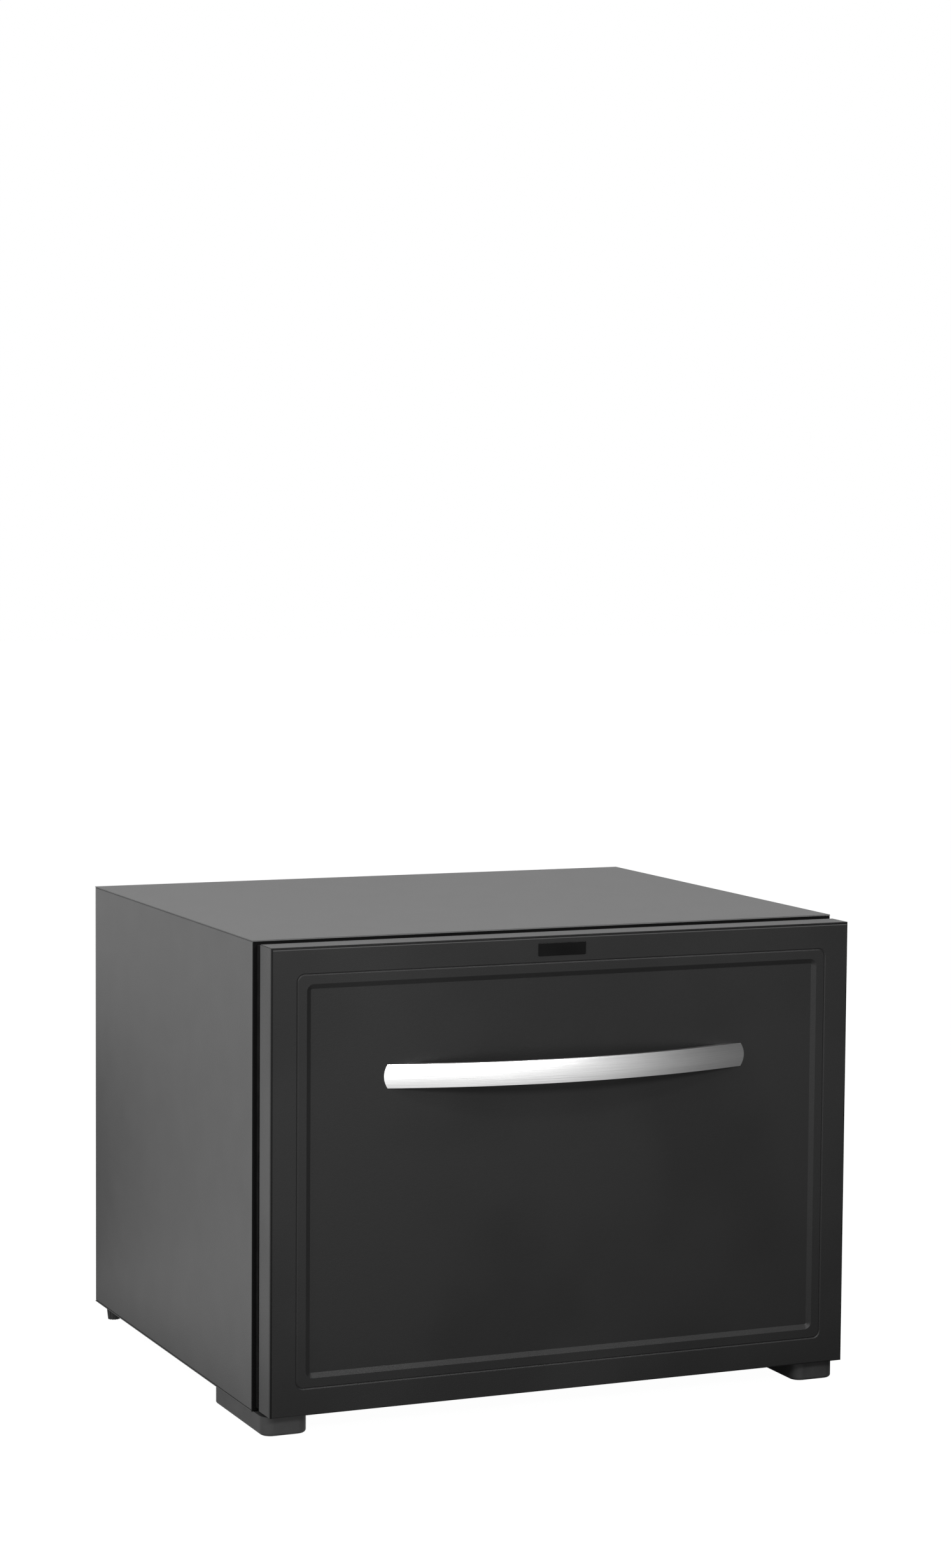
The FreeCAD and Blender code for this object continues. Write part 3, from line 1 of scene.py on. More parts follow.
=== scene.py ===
import bmesh
import bpy
import math
from mathutils import Matrix, Vector


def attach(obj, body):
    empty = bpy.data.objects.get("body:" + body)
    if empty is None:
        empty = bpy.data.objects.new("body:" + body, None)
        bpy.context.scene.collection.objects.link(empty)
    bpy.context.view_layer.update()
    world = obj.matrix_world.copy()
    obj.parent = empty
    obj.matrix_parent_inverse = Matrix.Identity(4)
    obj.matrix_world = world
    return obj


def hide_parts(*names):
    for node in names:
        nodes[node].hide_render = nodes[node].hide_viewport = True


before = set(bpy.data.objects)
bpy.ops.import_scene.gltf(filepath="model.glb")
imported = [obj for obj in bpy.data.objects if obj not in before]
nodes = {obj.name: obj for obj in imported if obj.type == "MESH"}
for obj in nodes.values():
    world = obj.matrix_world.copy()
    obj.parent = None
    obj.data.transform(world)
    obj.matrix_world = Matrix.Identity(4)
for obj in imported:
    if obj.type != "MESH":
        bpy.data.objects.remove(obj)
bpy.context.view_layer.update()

# Studio camera: a long lens at the height of a seated viewer, left of the fridge.
# It looks a little down, so that the top and the left side show.
image_h = 2464
focal_length = 5411.8
sensor = 36.0
camera_place = Vector((-1.1330, -2.6198, 0.7052))
camera_right = Vector((0.9169, -0.3990, 0.0077))
camera_up = Vector((0.0245, 0.0755, 0.9968))
camera_data = bpy.data.cameras.new("studio_camera")
camera_data.sensor_width = sensor
camera_data.lens = focal_length / image_h * sensor
camera_data.clip_end = 60.0
camera = bpy.data.objects.new("studio_camera", camera_data)
bpy.context.collection.objects.link(camera)
camera_back = camera_right.cross(camera_up).normalized()
camera_up = camera_back.cross(camera_right).normalized()
turn = Matrix((camera_right, camera_up, camera_back)).transposed().to_4x4()
camera.matrix_world = Matrix.Translation(camera_place) @ turn
bpy.context.scene.camera = camera
bpy.context.scene.view_settings.view_transform = "Standard"

# Studio floor: a wide matte sheet of pale paper under the fridge.
# It shows white to the camera. Its painted glow lights the fridge, most from the front
# left and least close by and on the right.
bpy.ops.mesh.primitive_plane_add(size=30.0, location=(0, 0, 0))
floor = bpy.context.object
floor.name = "studio_floor"
paper = bpy.data.materials.new("pale_paper")
paper.use_nodes = True
tree = paper.node_tree
sheet = tree.nodes["Principled BSDF"]
sheet.inputs["Base Color"].default_value = (0.04, 0.04, 0.04, 1)
sheet.inputs["Roughness"].default_value = 0.9
sheet.inputs["Specular IOR Level"].default_value = 0.0


def feed(tree, value, socket):
    """Sets a socket to a number, or links it to a pattern."""
    if isinstance(value, float):
        socket.default_value = value
    else:
        tree.links.new(value, socket)


def spot_on(tree):
    """Where the point lies on its own piece, in metres."""
    return tree.nodes.new("ShaderNodeTexCoord").outputs["Object"]


def ramp_to(tree, source, start, end, low, high):
    """A smooth change of a value between two places."""
    ramp = tree.nodes.new("ShaderNodeMapRange")
    ramp.interpolation_type = "SMOOTHSTEP"
    ramp.inputs["From Min"].default_value = start
    ramp.inputs["From Max"].default_value = end
    ramp.inputs["To Min"].default_value = low
    ramp.inputs["To Max"].default_value = high
    tree.links.new(source, ramp.inputs["Value"])
    return ramp.outputs["Result"]


def along(tree, axis, start, end, low, high):
    """Runs a value from low to high between two places along one axis, in metres."""
    split = tree.nodes.new("ShaderNodeSeparateXYZ")
    tree.links.new(spot_on(tree), split.inputs["Vector"])
    return ramp_to(tree, split.outputs[axis], start, end, low, high)


def combine(tree, how, one, two):
    """Two values worked into one."""
    node = tree.nodes.new("ShaderNodeMath")
    node.operation = how
    feed(tree, one, node.inputs[0])
    feed(tree, two, node.inputs[1])
    return node.outputs["Value"]


def blended(tree, share, one, two):
    """One value where the share is 0 and the other where it is 1."""
    mix = tree.nodes.new("ShaderNodeMix")
    for value, name in ((share, "Factor"), (one, "A"), (two, "B")):
        feed(tree, value, mix.inputs[name])
    return mix.outputs["Result"]


def add_glow(tree, shader, strength):
    """A shader with a white glow of its own."""
    glow = tree.nodes.new("ShaderNodeEmission")
    feed(tree, strength, glow.inputs["Strength"])
    lit = tree.nodes.new("ShaderNodeAddShader")
    tree.links.new(shader, lit.inputs[0])
    tree.links.new(glow.outputs["Emission"], lit.inputs[1])
    return lit.outputs["Shader"]


spot = spot_on(tree)
split = tree.nodes.new("ShaderNodeSeparateXYZ")
tree.links.new(spot, split.inputs["Vector"])
away = tree.nodes.new("ShaderNodeVectorMath")
away.operation = "LENGTH"
tree.links.new(spot, away.inputs[0])
aside = combine(tree, "DIVIDE", split.outputs["X"], away.outputs["Value"])
# Painted glow on the floor, as the fridge sees it.
far_glow = ramp_to(tree, away.outputs["Value"], 0.35, 1.6, 0.3, 1.0)
left_glow = ramp_to(tree, aside, 0.12, 0.82, 1.15, 0.07)
front_glow = along(tree, "Y", -1.0, 0.6, 1.25, 0.75)
around = combine(tree, "MULTIPLY", combine(tree, "MULTIPLY", far_glow, left_glow), front_glow)
beside = along(tree, "X", -0.37, -0.24, 0.78, 0.0)
toward_back = along(tree, "Y", 0.0, 0.45, 1.08, 1.3)
beside = combine(tree, "MULTIPLY", beside, toward_back)
paper_glow = combine(tree, "MAXIMUM", around, beside)
path = tree.nodes.new("ShaderNodeLightPath")
pick_floor = tree.nodes.new("ShaderNodeMixShader")
tree.links.new(path.outputs["Is Camera Ray"], pick_floor.inputs["Fac"])
tree.links.new(add_glow(tree, sheet.outputs["BSDF"], paper_glow), pick_floor.inputs[1])
tree.links.new(add_glow(tree, sheet.outputs["BSDF"], 0.98), pick_floor.inputs[2])
tree.links.new(pick_floor.outputs["Shader"], tree.nodes["Material Output"].inputs["Surface"])
floor.data.materials.append(paper)

# Dark backdrop: a strip of black gauze that hangs behind the fridge on the left, out
# of the picture. It thins out upward and to the left, and the rear edge of the left
# side mirrors it.
gauze_middle = (-0.46, 0.42, 0.221)
gauze_size = (0.40, 0.44, 1.0)
gauze_x = (-0.46, -0.30)
gauze_z = (0.110, 0.345)

bpy.ops.mesh.primitive_plane_add(
    size=1.0, location=gauze_middle, rotation=(math.pi / 2, 0, 0), scale=gauze_size
)
bpy.ops.object.transform_apply(location=True, rotation=True, scale=True)
backdrop = bpy.context.object
backdrop.name = "dark_backdrop"
backdrop.visible_camera = False
backdrop.visible_shadow = False
gauze = bpy.data.materials.new("black_gauze")
gauze.use_nodes = True
tree = gauze.node_tree
thread = tree.nodes["Principled BSDF"]
thread.inputs["Base Color"].default_value = (0.01, 0.01, 0.01, 1)
thread.inputs["Specular IOR Level"].default_value = 0.0
across = along(tree, "X", *gauze_x, 0.0, 1.0)
upward = along(tree, "Z", *gauze_z, 1.0, 0.0)
between = tree.nodes.new("ShaderNodeBsdfTransparent")
weave = tree.nodes.new("ShaderNodeMixShader")
tree.links.new(combine(tree, "MULTIPLY", across, upward), weave.inputs["Fac"])
tree.links.new(between.outputs["BSDF"], weave.inputs[1])
tree.links.new(thread.outputs["BSDF"], weave.inputs[2])
tree.links.new(weave.outputs["Shader"], tree.nodes["Material Output"].inputs["Surface"])
backdrop.data.materials.append(gauze)

# Studio light: a surround that is bright behind the fridge, softer in front and dim
# on the right. Four large soft boxes stand round the fridge and above it, and a small
# one picks out the top edge of the drawer front.
world = bpy.data.worlds.new("studio_surround")
bpy.context.scene.world = world
world.use_nodes = True
sky = world.node_tree
sky.nodes.clear()
where = sky.nodes.new("ShaderNodeTexCoord")
split = sky.nodes.new("ShaderNodeSeparateXYZ")
sky.links.new(where.outputs["Generated"], split.inputs["Vector"])
from_left = ramp_to(sky, split.outputs["X"], 0.12, 0.82, 1.35, 0.07)
near_floor = ramp_to(sky, split.outputs["Z"], 0.2, 0.6, 1.0, 0.5)
behind = ramp_to(sky, split.outputs["Y"], -0.25, 0.55, 0.0, 1.0)
sky_glow = combine(sky, "MULTIPLY", from_left, near_floor)
surround = sky.nodes.new("ShaderNodeBackground")
sky.links.new(blended(sky, behind, sky_glow, 0.95), surround.inputs["Color"])
seen = sky.nodes.new("ShaderNodeBackground")
seen.inputs["Color"].default_value = (1, 1, 1, 1)
path = sky.nodes.new("ShaderNodeLightPath")
pick_sky = sky.nodes.new("ShaderNodeMixShader")
sky.links.new(path.outputs["Is Camera Ray"], pick_sky.inputs["Fac"])
sky.links.new(surround.outputs["Background"], pick_sky.inputs[1])
sky.links.new(seen.outputs["Background"], pick_sky.inputs[2])
out = sky.nodes.new("ShaderNodeOutputWorld")
sky.links.new(pick_sky.outputs["Shader"], out.inputs["Surface"])


def soft_box(name, place, aim, width, height, watts):
    """A rectangular soft light that points at a place and isn't seen itself."""
    data = bpy.data.lights.new(name, "AREA")
    data.shape = "RECTANGLE"
    data.size = width
    data.size_y = height
    data.energy = watts
    lamp = bpy.data.objects.new(name, data)
    lamp.location = place
    lamp.rotation_euler = (Vector(aim) - Vector(place)).to_track_quat("-Z", "Y").to_euler()
    lamp.visible_camera = False
    bpy.context.collection.objects.link(lamp)


soft_box("front_box", (-0.24, -2.5, 1.34), (0, -0.2, 0.25), 1.8, 0.42, 56)
soft_box("left_box", (-1.9, -0.9, 1.4), (-0.25, 0, 0.2), 1.2, 1.2, 44)
soft_box("right_box", (1.05, -1.9, 1.75), (0, -0.2, 0.2), 0.9, 0.7, 1.5)
soft_box("overhead_box", (0.0, 0.6, 2.4), (0, 0, 0.3), 1.8, 1.8, 12)
soft_box("edge_box", (0.8, -1.35, 1.78), (0, -0.2, 0.38), 0.24, 0.24, 14)

# Cabinet skins: folded sheet steel with a fine-grained black powder coat.
# The grain scatters light, so the skins look grey where light grazes them. The front
# flange, where the gasket rubs, has painted shade that makes it near black, and a painted
# highlight line under its top edge.
coat_grey = 0.024
coat_mottle = 0.010
# Painted shade on the front flange: a near-black colour, made metallic so that it barely reflects.
flange_y = (-0.1733, -0.1726)
painted_flange_shade_grey = 0.008
# Painted highlight: a pale line along the flange just under its top edge.
painted_flange_highlight_z = (0.3782, 0.3788)
painted_flange_highlight_grey = 0.05
painted_flange_highlight_fade = 0.0001


def new_material(name):
    """A node material, its tree and its Principled shader."""
    material = bpy.data.materials.new(name)
    material.use_nodes = True
    return material, material.node_tree, material.node_tree.nodes["Principled BSDF"]


def set_finish(shader, rough, specular):
    """Constant gloss values, set on the shader's own sockets."""
    shader.inputs["Roughness"].default_value = rough
    shader.inputs["Specular IOR Level"].default_value = specular


def grain(tree, scale, detail=3.0, stretch=(1, 1, 1)):
    """Noise over the piece, in grains to the metre, stretched along its axes."""
    mapping = tree.nodes.new("ShaderNodeMapping")
    mapping.inputs["Scale"].default_value = stretch
    noise = tree.nodes.new("ShaderNodeTexNoise")
    noise.inputs["Scale"].default_value = scale
    noise.inputs["Detail"].default_value = detail
    tree.links.new(spot_on(tree), mapping.inputs["Vector"])
    tree.links.new(mapping.outputs["Vector"], noise.inputs["Vector"])
    return noise.outputs["Fac"]


def add_bump(tree, shader, source, distance, strength):
    """Turns a pattern into relief on the shader."""
    bump = tree.nodes.new("ShaderNodeBump")
    bump.inputs["Distance"].default_value = distance
    bump.inputs["Strength"].default_value = strength
    tree.links.new(source, bump.inputs["Height"])
    tree.links.new(bump.outputs["Normal"], shader.inputs["Normal"])


def add_tint(tree, source, target, low, high):
    """Runs a pattern between two colours, or two greys, into a socket."""
    ramp = tree.nodes.new("ShaderNodeValToRGB")
    ends = ramp.color_ramp.elements
    ends[0].position = 0.35
    ends[1].position = 0.65
    for end, colour in zip(ends, (low, high)):
        end.color = (*colour, 1) if isinstance(colour, tuple) else (colour, colour, colour, 1)
    tree.links.new(source, ramp.inputs["Fac"])
    tree.links.new(ramp.outputs["Color"], target)


def dress(material, *names):
    """Gives CAD nodes their finished material."""
    for name in names:
        slots = nodes[name].data.materials
        for i in range(len(slots)):
            slots[i] = material
        if not len(slots):
            slots.append(material)


powder, tree, shader = new_material("powder_coat")
set_finish(shader, 0.5, 0.5)
add_bump(tree, shader, grain(tree, 1000), 0.0004, 0.34)
mottle = combine(tree, "MULTIPLY", grain(tree, 35, 4), coat_mottle)
coat_tone = combine(tree, "ADD", mottle, coat_grey)
# The flange gets painted shade, with a painted highlight line under its top edge.
behind_flange = along(tree, "Y", *flange_y, 0.0, 1.0)
over_line = along(tree, "Z", painted_flange_highlight_z[0] - painted_flange_highlight_fade, painted_flange_highlight_z[0] + painted_flange_highlight_fade, 0.0, 1.0)
under_line = along(tree, "Z", painted_flange_highlight_z[1] - painted_flange_highlight_fade, painted_flange_highlight_z[1] + painted_flange_highlight_fade, 1.0, 0.0)
painted_flange_highlight = combine(tree, "MULTIPLY", over_line, under_line)
flange_painted_shade_and_highlight = ramp_to(tree, painted_flange_highlight, 0.0, 1.0, painted_flange_shade_grey, painted_flange_highlight_grey)
tone_with_painted_light = blended(tree, behind_flange, flange_painted_shade_and_highlight, coat_tone)
tree.links.new(tone_with_painted_light, shader.inputs["Base Color"])
outside_painted_flange_highlight = ramp_to(tree, painted_flange_highlight, 0.0, 1.0, 1.0, 0.0)
flange = along(tree, "Y", *flange_y, 1.0, 0.0)
tree.links.new(combine(tree, "MULTIPLY", flange, outside_painted_flange_highlight), shader.inputs["Metallic"])
tree.links.new(along(tree, "Y", *flange_y, 0.85, 0.5), shader.inputs["Roughness"])
dress(powder, "top_panel", "side_panel_left", "side_panel_right", "base_panel")

# Rear wall of the cabinet: a folded sheet of galvanised steel before the rear bay.
# Its zinc has grown in flat crystals, which catch the light in patches.


def cells(tree, scale, output="Distance"):
    """Small cells over the piece, so many to the metre."""
    pattern = tree.nodes.new("ShaderNodeTexVoronoi")
    pattern.inputs["Scale"].default_value = scale
    tree.links.new(spot_on(tree), pattern.inputs["Vector"])
    return pattern.outputs[output]


galvanised, tree, shader = new_material("galvanised_steel")
set_finish(shader, 0.4, 0.5)
shader.inputs["Metallic"].default_value = 1.0
spangle = cells(tree, 240, "Color")
add_tint(tree, spangle, shader.inputs["Base Color"], (0.52, 0.53, 0.54), (0.60, 0.61, 0.62))
add_tint(tree, spangle, shader.inputs["Roughness"], 0.36, 0.44)
add_bump(tree, shader, grain(tree, 400), 0.0002, 0.15)
dress(galvanised, "rear_bulkhead")

# Insulation: rigid foam blown in between the skins and the liner, which it glues
# together. Its skin is cream, with closed cells and a few larger blisters.
foam, tree, shader = new_material("blown_foam")
set_finish(shader, 0.85, 0.2)
add_bump(tree, shader, cells(tree, 420), 0.0010, 0.5)
add_tint(
    tree, grain(tree, 30, 5), shader.inputs["Base Color"], (0.70, 0.60, 0.38), (0.80, 0.72, 0.50)
)
dress(foam, "cabinet_insulation", "drawer_front_insulation")

# Liner: one sheet of pale plastic, vacuum-formed into the cavity, with a slight
# orange-peel skin and an even satin shine.
liner_plastic, tree, shader = new_material("liner_plastic")
set_finish(shader, 0.34, 0.5)
add_bump(tree, shader, grain(tree, 220, 2), 0.0003, 0.18)
add_tint(
    tree, grain(tree, 12, 3), shader.inputs["Base Color"], (0.54, 0.56, 0.57), (0.58, 0.60, 0.61)
)
dress(liner_plastic, "inner_liner", "drawer_front_liner")

# Front feet: a block of moulded black plastic under each front corner, rounded in
# front and below, with two deep holes for its screws. It runs forward, so that it
# stands under the drawer front too.
foot_x = (-248.2, -210.95)
foot_y = (-195.3, -86.0)
foot_z = (0.0, 15.0)
foot_corner_r = 9.0
foot_edge_r = 2.2
foot_screw_x = -229.575
foot_screw_y = (-151.75, -103.57)
foot_bore_r = 4.4
foot_bore_z = 7.5


def put_down():
    """Closes what is open for shaping and leaves nothing selected."""
    if bpy.context.object and bpy.context.object.mode != "OBJECT":
        bpy.ops.object.mode_set(mode="OBJECT")
    bpy.ops.object.select_all(action="DESELECT")


def pick_up(piece):
    """Makes one piece the only one selected."""
    put_down()
    piece.select_set(True)
    bpy.context.view_layer.objects.active = piece


def open_piece(piece):
    """Opens a piece for shaping."""
    pick_up(piece)
    bpy.ops.object.mode_set(mode="EDIT")


def add_block(name, xs, ys, zs):
    """A block between two places each way, in millimetres, open for shaping."""
    put_down()
    middle = [(a + b) / 2000 for a, b in (xs, ys, zs)]
    lengths = [b - a for a, b in (xs, ys, zs)]
    bpy.ops.mesh.primitive_cube_add(size=0.001, location=middle, scale=lengths)
    bpy.ops.object.transform_apply(location=True, rotation=True, scale=True)
    piece = bpy.context.object
    piece.name = name
    open_piece(piece)
    return piece


def add_rod(name, start, end, r, end_r=None, sides=40):
    """A round rod or cone between two points, in millimetres, open for shaping."""
    put_down()
    start, end = Vector(start) / 1000, Vector(end) / 1000
    bpy.ops.mesh.primitive_cone_add(
        vertices=sides, radius1=r / 1000, radius2=(r if end_r is None else end_r) / 1000,
        depth=(end - start).length, location=(start + end) / 2,
        rotation=(end - start).to_track_quat("Z", "Y").to_euler(),
    )
    bpy.ops.object.transform_apply(location=True, rotation=True, scale=True)
    piece = bpy.context.object
    piece.name = name
    open_piece(piece)
    return piece


def pick_faces(test):
    """Selects the open piece's faces whose middle, in millimetres, and normal pass."""
    bpy.ops.mesh.select_mode(type="FACE")
    bpy.ops.mesh.select_all(action="DESELECT")
    shape = bmesh.from_edit_mesh(bpy.context.object.data)
    for face in shape.faces:
        if test(face.calc_center_median() * 1000, face.normal):
            face.select_set(True)
    bmesh.update_edit_mesh(bpy.context.object.data)


def pick_edges(test):
    """Selects the open piece's edges whose two ends, in millimetres, pass."""
    bpy.ops.mesh.select_mode(type="EDGE")
    bpy.ops.mesh.select_all(action="DESELECT")
    shape = bmesh.from_edit_mesh(bpy.context.object.data)
    for edge in shape.edges:
        if test(edge.verts[0].co * 1000, edge.verts[1].co * 1000):
            edge.select_set(True)
    bmesh.update_edit_mesh(bpy.context.object.data)


def near(a, b):
    """Whether two places, in millimetres, are the same."""
    return abs(a - b) < 0.02


def round_off(r, steps=3):
    """Rounds the selected edges."""
    bpy.ops.mesh.bevel(offset=r / 1000, segments=steps, affect="EDGES", clamp_overlap=True)


def cut_away(piece, tool, how="DIFFERENCE"):
    """Cuts a piece with the shape of a tool."""
    pick_up(piece)
    cut = piece.modifiers.new("cut", "BOOLEAN")
    cut.operation = how
    cut.solver = "EXACT"
    cut.object = tool
    bpy.ops.object.modifier_apply(modifier=cut.name)
    bpy.data.objects.remove(tool)


def put_together(name, pieces):
    """Several shells as one piece."""
    put_down()
    for piece in pieces:
        piece.select_set(True)
    bpy.context.view_layer.objects.active = pieces[0]
    if len(pieces) > 1:
        bpy.ops.object.join()
    pieces[0].name = name
    return pieces[0]


def copied(piece, move=(0, 0, 0), turn=None):
    """A copy with a mesh of its own, moved in millimetres or turned about an axis."""
    pick_up(piece)
    bpy.ops.object.duplicate()
    twin = bpy.context.object
    if turn:
        angle, axis, centre = turn
        centre = Vector(centre) / 1000
        spin = Matrix.Rotation(angle, 4, axis)
        twin.matrix_world = Matrix.Translation(centre) @ spin @ Matrix.Translation(-centre)
    twin.location += Vector(move) / 1000
    bpy.ops.object.transform_apply(location=True, rotation=True, scale=True)
    return twin


def mirrored(piece, name):
    """The same piece for the other side, with a mesh of its own."""
    pick_up(piece)
    bpy.ops.object.duplicate()
    twin = bpy.context.object
    twin.name = name
    twin.scale.x = -1
    bpy.ops.object.transform_apply(location=True, rotation=True, scale=True)
    open_piece(twin)
    bpy.ops.mesh.select_all(action="SELECT")
    bpy.ops.mesh.normals_make_consistent(inside=False)
    put_down()
    return twin


def set_in(piece, material, body, slot, *stands_for):
    """Smooths a shaped piece, gives it its finish and sets it in its body."""
    pick_up(piece)
    bpy.ops.object.shade_smooth_by_angle(angle=math.radians(32))
    evened = piece.modifiers.new("evened", "WEIGHTED_NORMAL")
    evened.keep_sharp = True
    bpy.ops.object.modifier_apply(modifier=evened.name)
    piece.data.materials.clear()
    piece.data.materials.append(material)
    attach(piece, body)
    if stands_for:
        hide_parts(*stands_for)


black_plastic, tree, shader = new_material("moulded_black_plastic")
set_finish(shader, 0.4, 0.5)
add_bump(tree, shader, grain(tree, 700), 0.0002, 0.2)
add_tint(tree, grain(tree, 60), shader.inputs["Base Color"], 0.017, 0.023)

foot = add_block("block_foot_left", foot_x, foot_y, foot_z)
pick_edges(lambda p, q: near(p.y, foot_y[0]) and near(q.y, foot_y[0]) and not near(p.z, q.z))
round_off(foot_corner_r, 8)
pick_edges(lambda p, q: near(p.z, 0) and near(q.z, 0))
round_off(foot_edge_r, 4)
for y in foot_screw_y:
    bore = add_rod("bore", (foot_screw_x, y, -1), (foot_screw_x, y, foot_bore_z), foot_bore_r)
    cut_away(foot, bore)
set_in(foot, black_plastic, "cabinet", "black_plastic", "front_foot_left")
foot = mirrored(foot, "block_foot_right")
set_in(foot, black_plastic, "cabinet", "black_plastic", "front_foot_right")

# Foot screws: zinc-plated pan-head screws with a cross slot, driven up from below.
# Every screw of the fridge has this head, and only the shanks differ in length.
screw_r = 1.7
head_r = 3.4
head_t = 1.6
head_edge_r = 0.9
tip_edge_r = 0.6
slot_l = 3.6
slot_t = 0.8
foot_screw_end = 24.0

zinc, tree, shader = new_material("zinc_plated_steel")
set_finish(shader, 0.3, 0.5)
shader.inputs["Metallic"].default_value = 1.0
add_tint(
    tree, grain(tree, 500), shader.inputs["Base Color"], (0.52, 0.53, 0.55), (0.64, 0.65, 0.66)
)
add_bump(tree, shader, grain(tree, 1500, 2), 0.0001, 0.2)


def add_screws(name, length, seats, way):
    """Screws with their heads on the seats, in millimetres, and facing one way."""
    head = add_rod("head", (0, 0, 0), (0, 0, head_t), head_r, sides=24)
    pick_edges(lambda p, q: near(p.z, head_t) and near(q.z, head_t))
    round_off(head_edge_r, 3)
    for turn in (0, math.pi / 2):
        half = (slot_l / 2, slot_t / 2) if turn else (slot_t / 2, slot_l / 2)
        tool = add_block(
            "slot_tool", (-half[0], half[0]), (-half[1], half[1]), (head_t / 3, head_t + 1)
        )
        cut_away(head, tool)
    shank = add_rod("shank", (0, 0, 0.2), (0, 0, -length), screw_r, sides=14)
    pick_edges(lambda p, q: near(p.z, -length) and near(q.z, -length))
    round_off(tip_edge_r, 2)
    screw = put_together("screw", [head, shank])
    aim = Vector(way).to_track_quat("Z", "Y").to_euler()
    screws = []
    for seat in seats:
        pick_up(screw)
        bpy.ops.object.duplicate()
        twin = bpy.context.object
        twin.rotation_euler = aim
        twin.location = Vector(seat) / 1000
        bpy.ops.object.transform_apply(location=True, rotation=True, scale=True)
        screws.append(twin)
    bpy.data.objects.remove(screw)
    return put_together(name, screws)


seats = [(side * foot_screw_x, y, foot_bore_z) for side in (-1, 1) for y in foot_screw_y]
screws = add_screws("foot_screws", foot_screw_end - foot_bore_z, seats, (0, 0, -1))
set_in(screws, zinc, "cabinet", "screw_steel", "front_foot_screws")

# Rear feet: screw feet of moulded black plastic, ribbed for the fingers and wider
# above, on a steel stud that turns in a threaded sleeve in the base.
rear_foot_place = (-236.0, 218.7)
rear_foot_low_r = 4.75
rear_foot_high_r = 6.45
rear_foot_z = (0.1, 14.8)
rear_foot_strips = 42
rib_out = 0.4
sole_r = 2.0
stud_r = 3.0
stud_top = 26.0

x, y = rear_foot_place
grip = add_rod(
    "grip", (x, y, rear_foot_z[0]), (x, y, rear_foot_z[1]),
    rear_foot_low_r, rear_foot_high_r, rear_foot_strips,
)


def on_rib(middle, normal):
    """Every third strip round the foot."""
    turn = math.atan2(middle.y - rear_foot_place[1], middle.x - rear_foot_place[0])
    return abs(normal.z) < 0.5 and round(turn / math.tau * rear_foot_strips - 0.5) % 3 == 0


pick_faces(on_rib)
bpy.ops.mesh.extrude_region_shrink_fatten(TRANSFORM_OT_shrink_fatten={"value": rib_out / 1000})
pick_faces(
    lambda middle, normal: normal.z < -0.9
    and (middle.xy - Vector(rear_foot_place)).length < sole_r
)
bpy.ops.mesh.inset(thickness=0.0018, depth=0)
bpy.ops.mesh.inset(thickness=0.0004, depth=-0.0006)
stud = add_rod("stud", (x, y, rear_foot_z[1] - 1), (x, y, stud_top), stud_r, sides=28)
pick_edges(lambda p, q: near(p.z, stud_top) and near(q.z, stud_top))
round_off(tip_edge_r, 2)
foot = put_together("screw_foot_left_ribbed", [grip, stud])
set_in(foot, black_plastic, "screw_foot_left", "black_plastic", "rear_foot_left")
foot = mirrored(foot, "screw_foot_right_ribbed")
set_in(foot, black_plastic, "screw_foot_right", "black_plastic", "rear_foot_right")
dress(zinc, "rear_foot_inserts")

# Heat pump: a ceramic module between an aluminium block and two finned sinks, the
# cold one in the cavity and the hot one in the rear bay. Two screws clamp it all.
clamp_seats = ((-42.0, 182.0, 197.0), (42.0, 182.0, 197.0))
clamp_l = 41.0

aluminium, tree, shader = new_material("extruded_aluminium")
set_finish(shader, 0.34, 0.5)
shader.inputs["Metallic"].default_value = 1.0
drawn = grain(tree, 60, 3, (1, 1, 0.1))
add_tint(tree, drawn, shader.inputs["Base Color"], (0.62, 0.63, 0.64), (0.72, 0.72, 0.73))
add_bump(tree, shader, grain(tree, 900, 3, (1, 1, 0.05)), 0.0002, 0.3)
dress(aluminium, "cold_block", "cold_sink", "hot_sink")

ceramic, tree, shader = new_material("white_ceramic")
set_finish(shader, 0.45, 0.5)
add_tint(
    tree, grain(tree, 300), shader.inputs["Base Color"], (0.74, 0.74, 0.71), (0.82, 0.82, 0.79)
)
dress(ceramic, "thermoelectric_module")

screws = add_screws("sink_clamp_screws", clamp_l, clamp_seats, (0, 1, 0))
set_in(screws, zinc, "cabinet", "screw_steel", "clamp_screws")

# Fans: a square frame moulded in black plastic with a round duct, three struts and
# a hub plate. The rotor has a cap and seven curved blades, thin and well pitched.
fan_z = 197.0
frame_corner_r = 4.5
frame_edge_r = 0.5
frame_waist = 1.1
frame_flange_t = 3.2
duct_rim = 2.6
duct_edge_r = 0.8
strut_w = 3.0
strut_count = 3
hub_plate_t = 3.5
frame_hole_r = 2.2
frame_hole_inset = 6.7
spindle_r = 1.45
blade_count = 7
blade_t = 1.2
blade_camber = 1.3
blade_pitch = math.radians(34)
blade_root_share = 0.56
blade_gap = 0.6


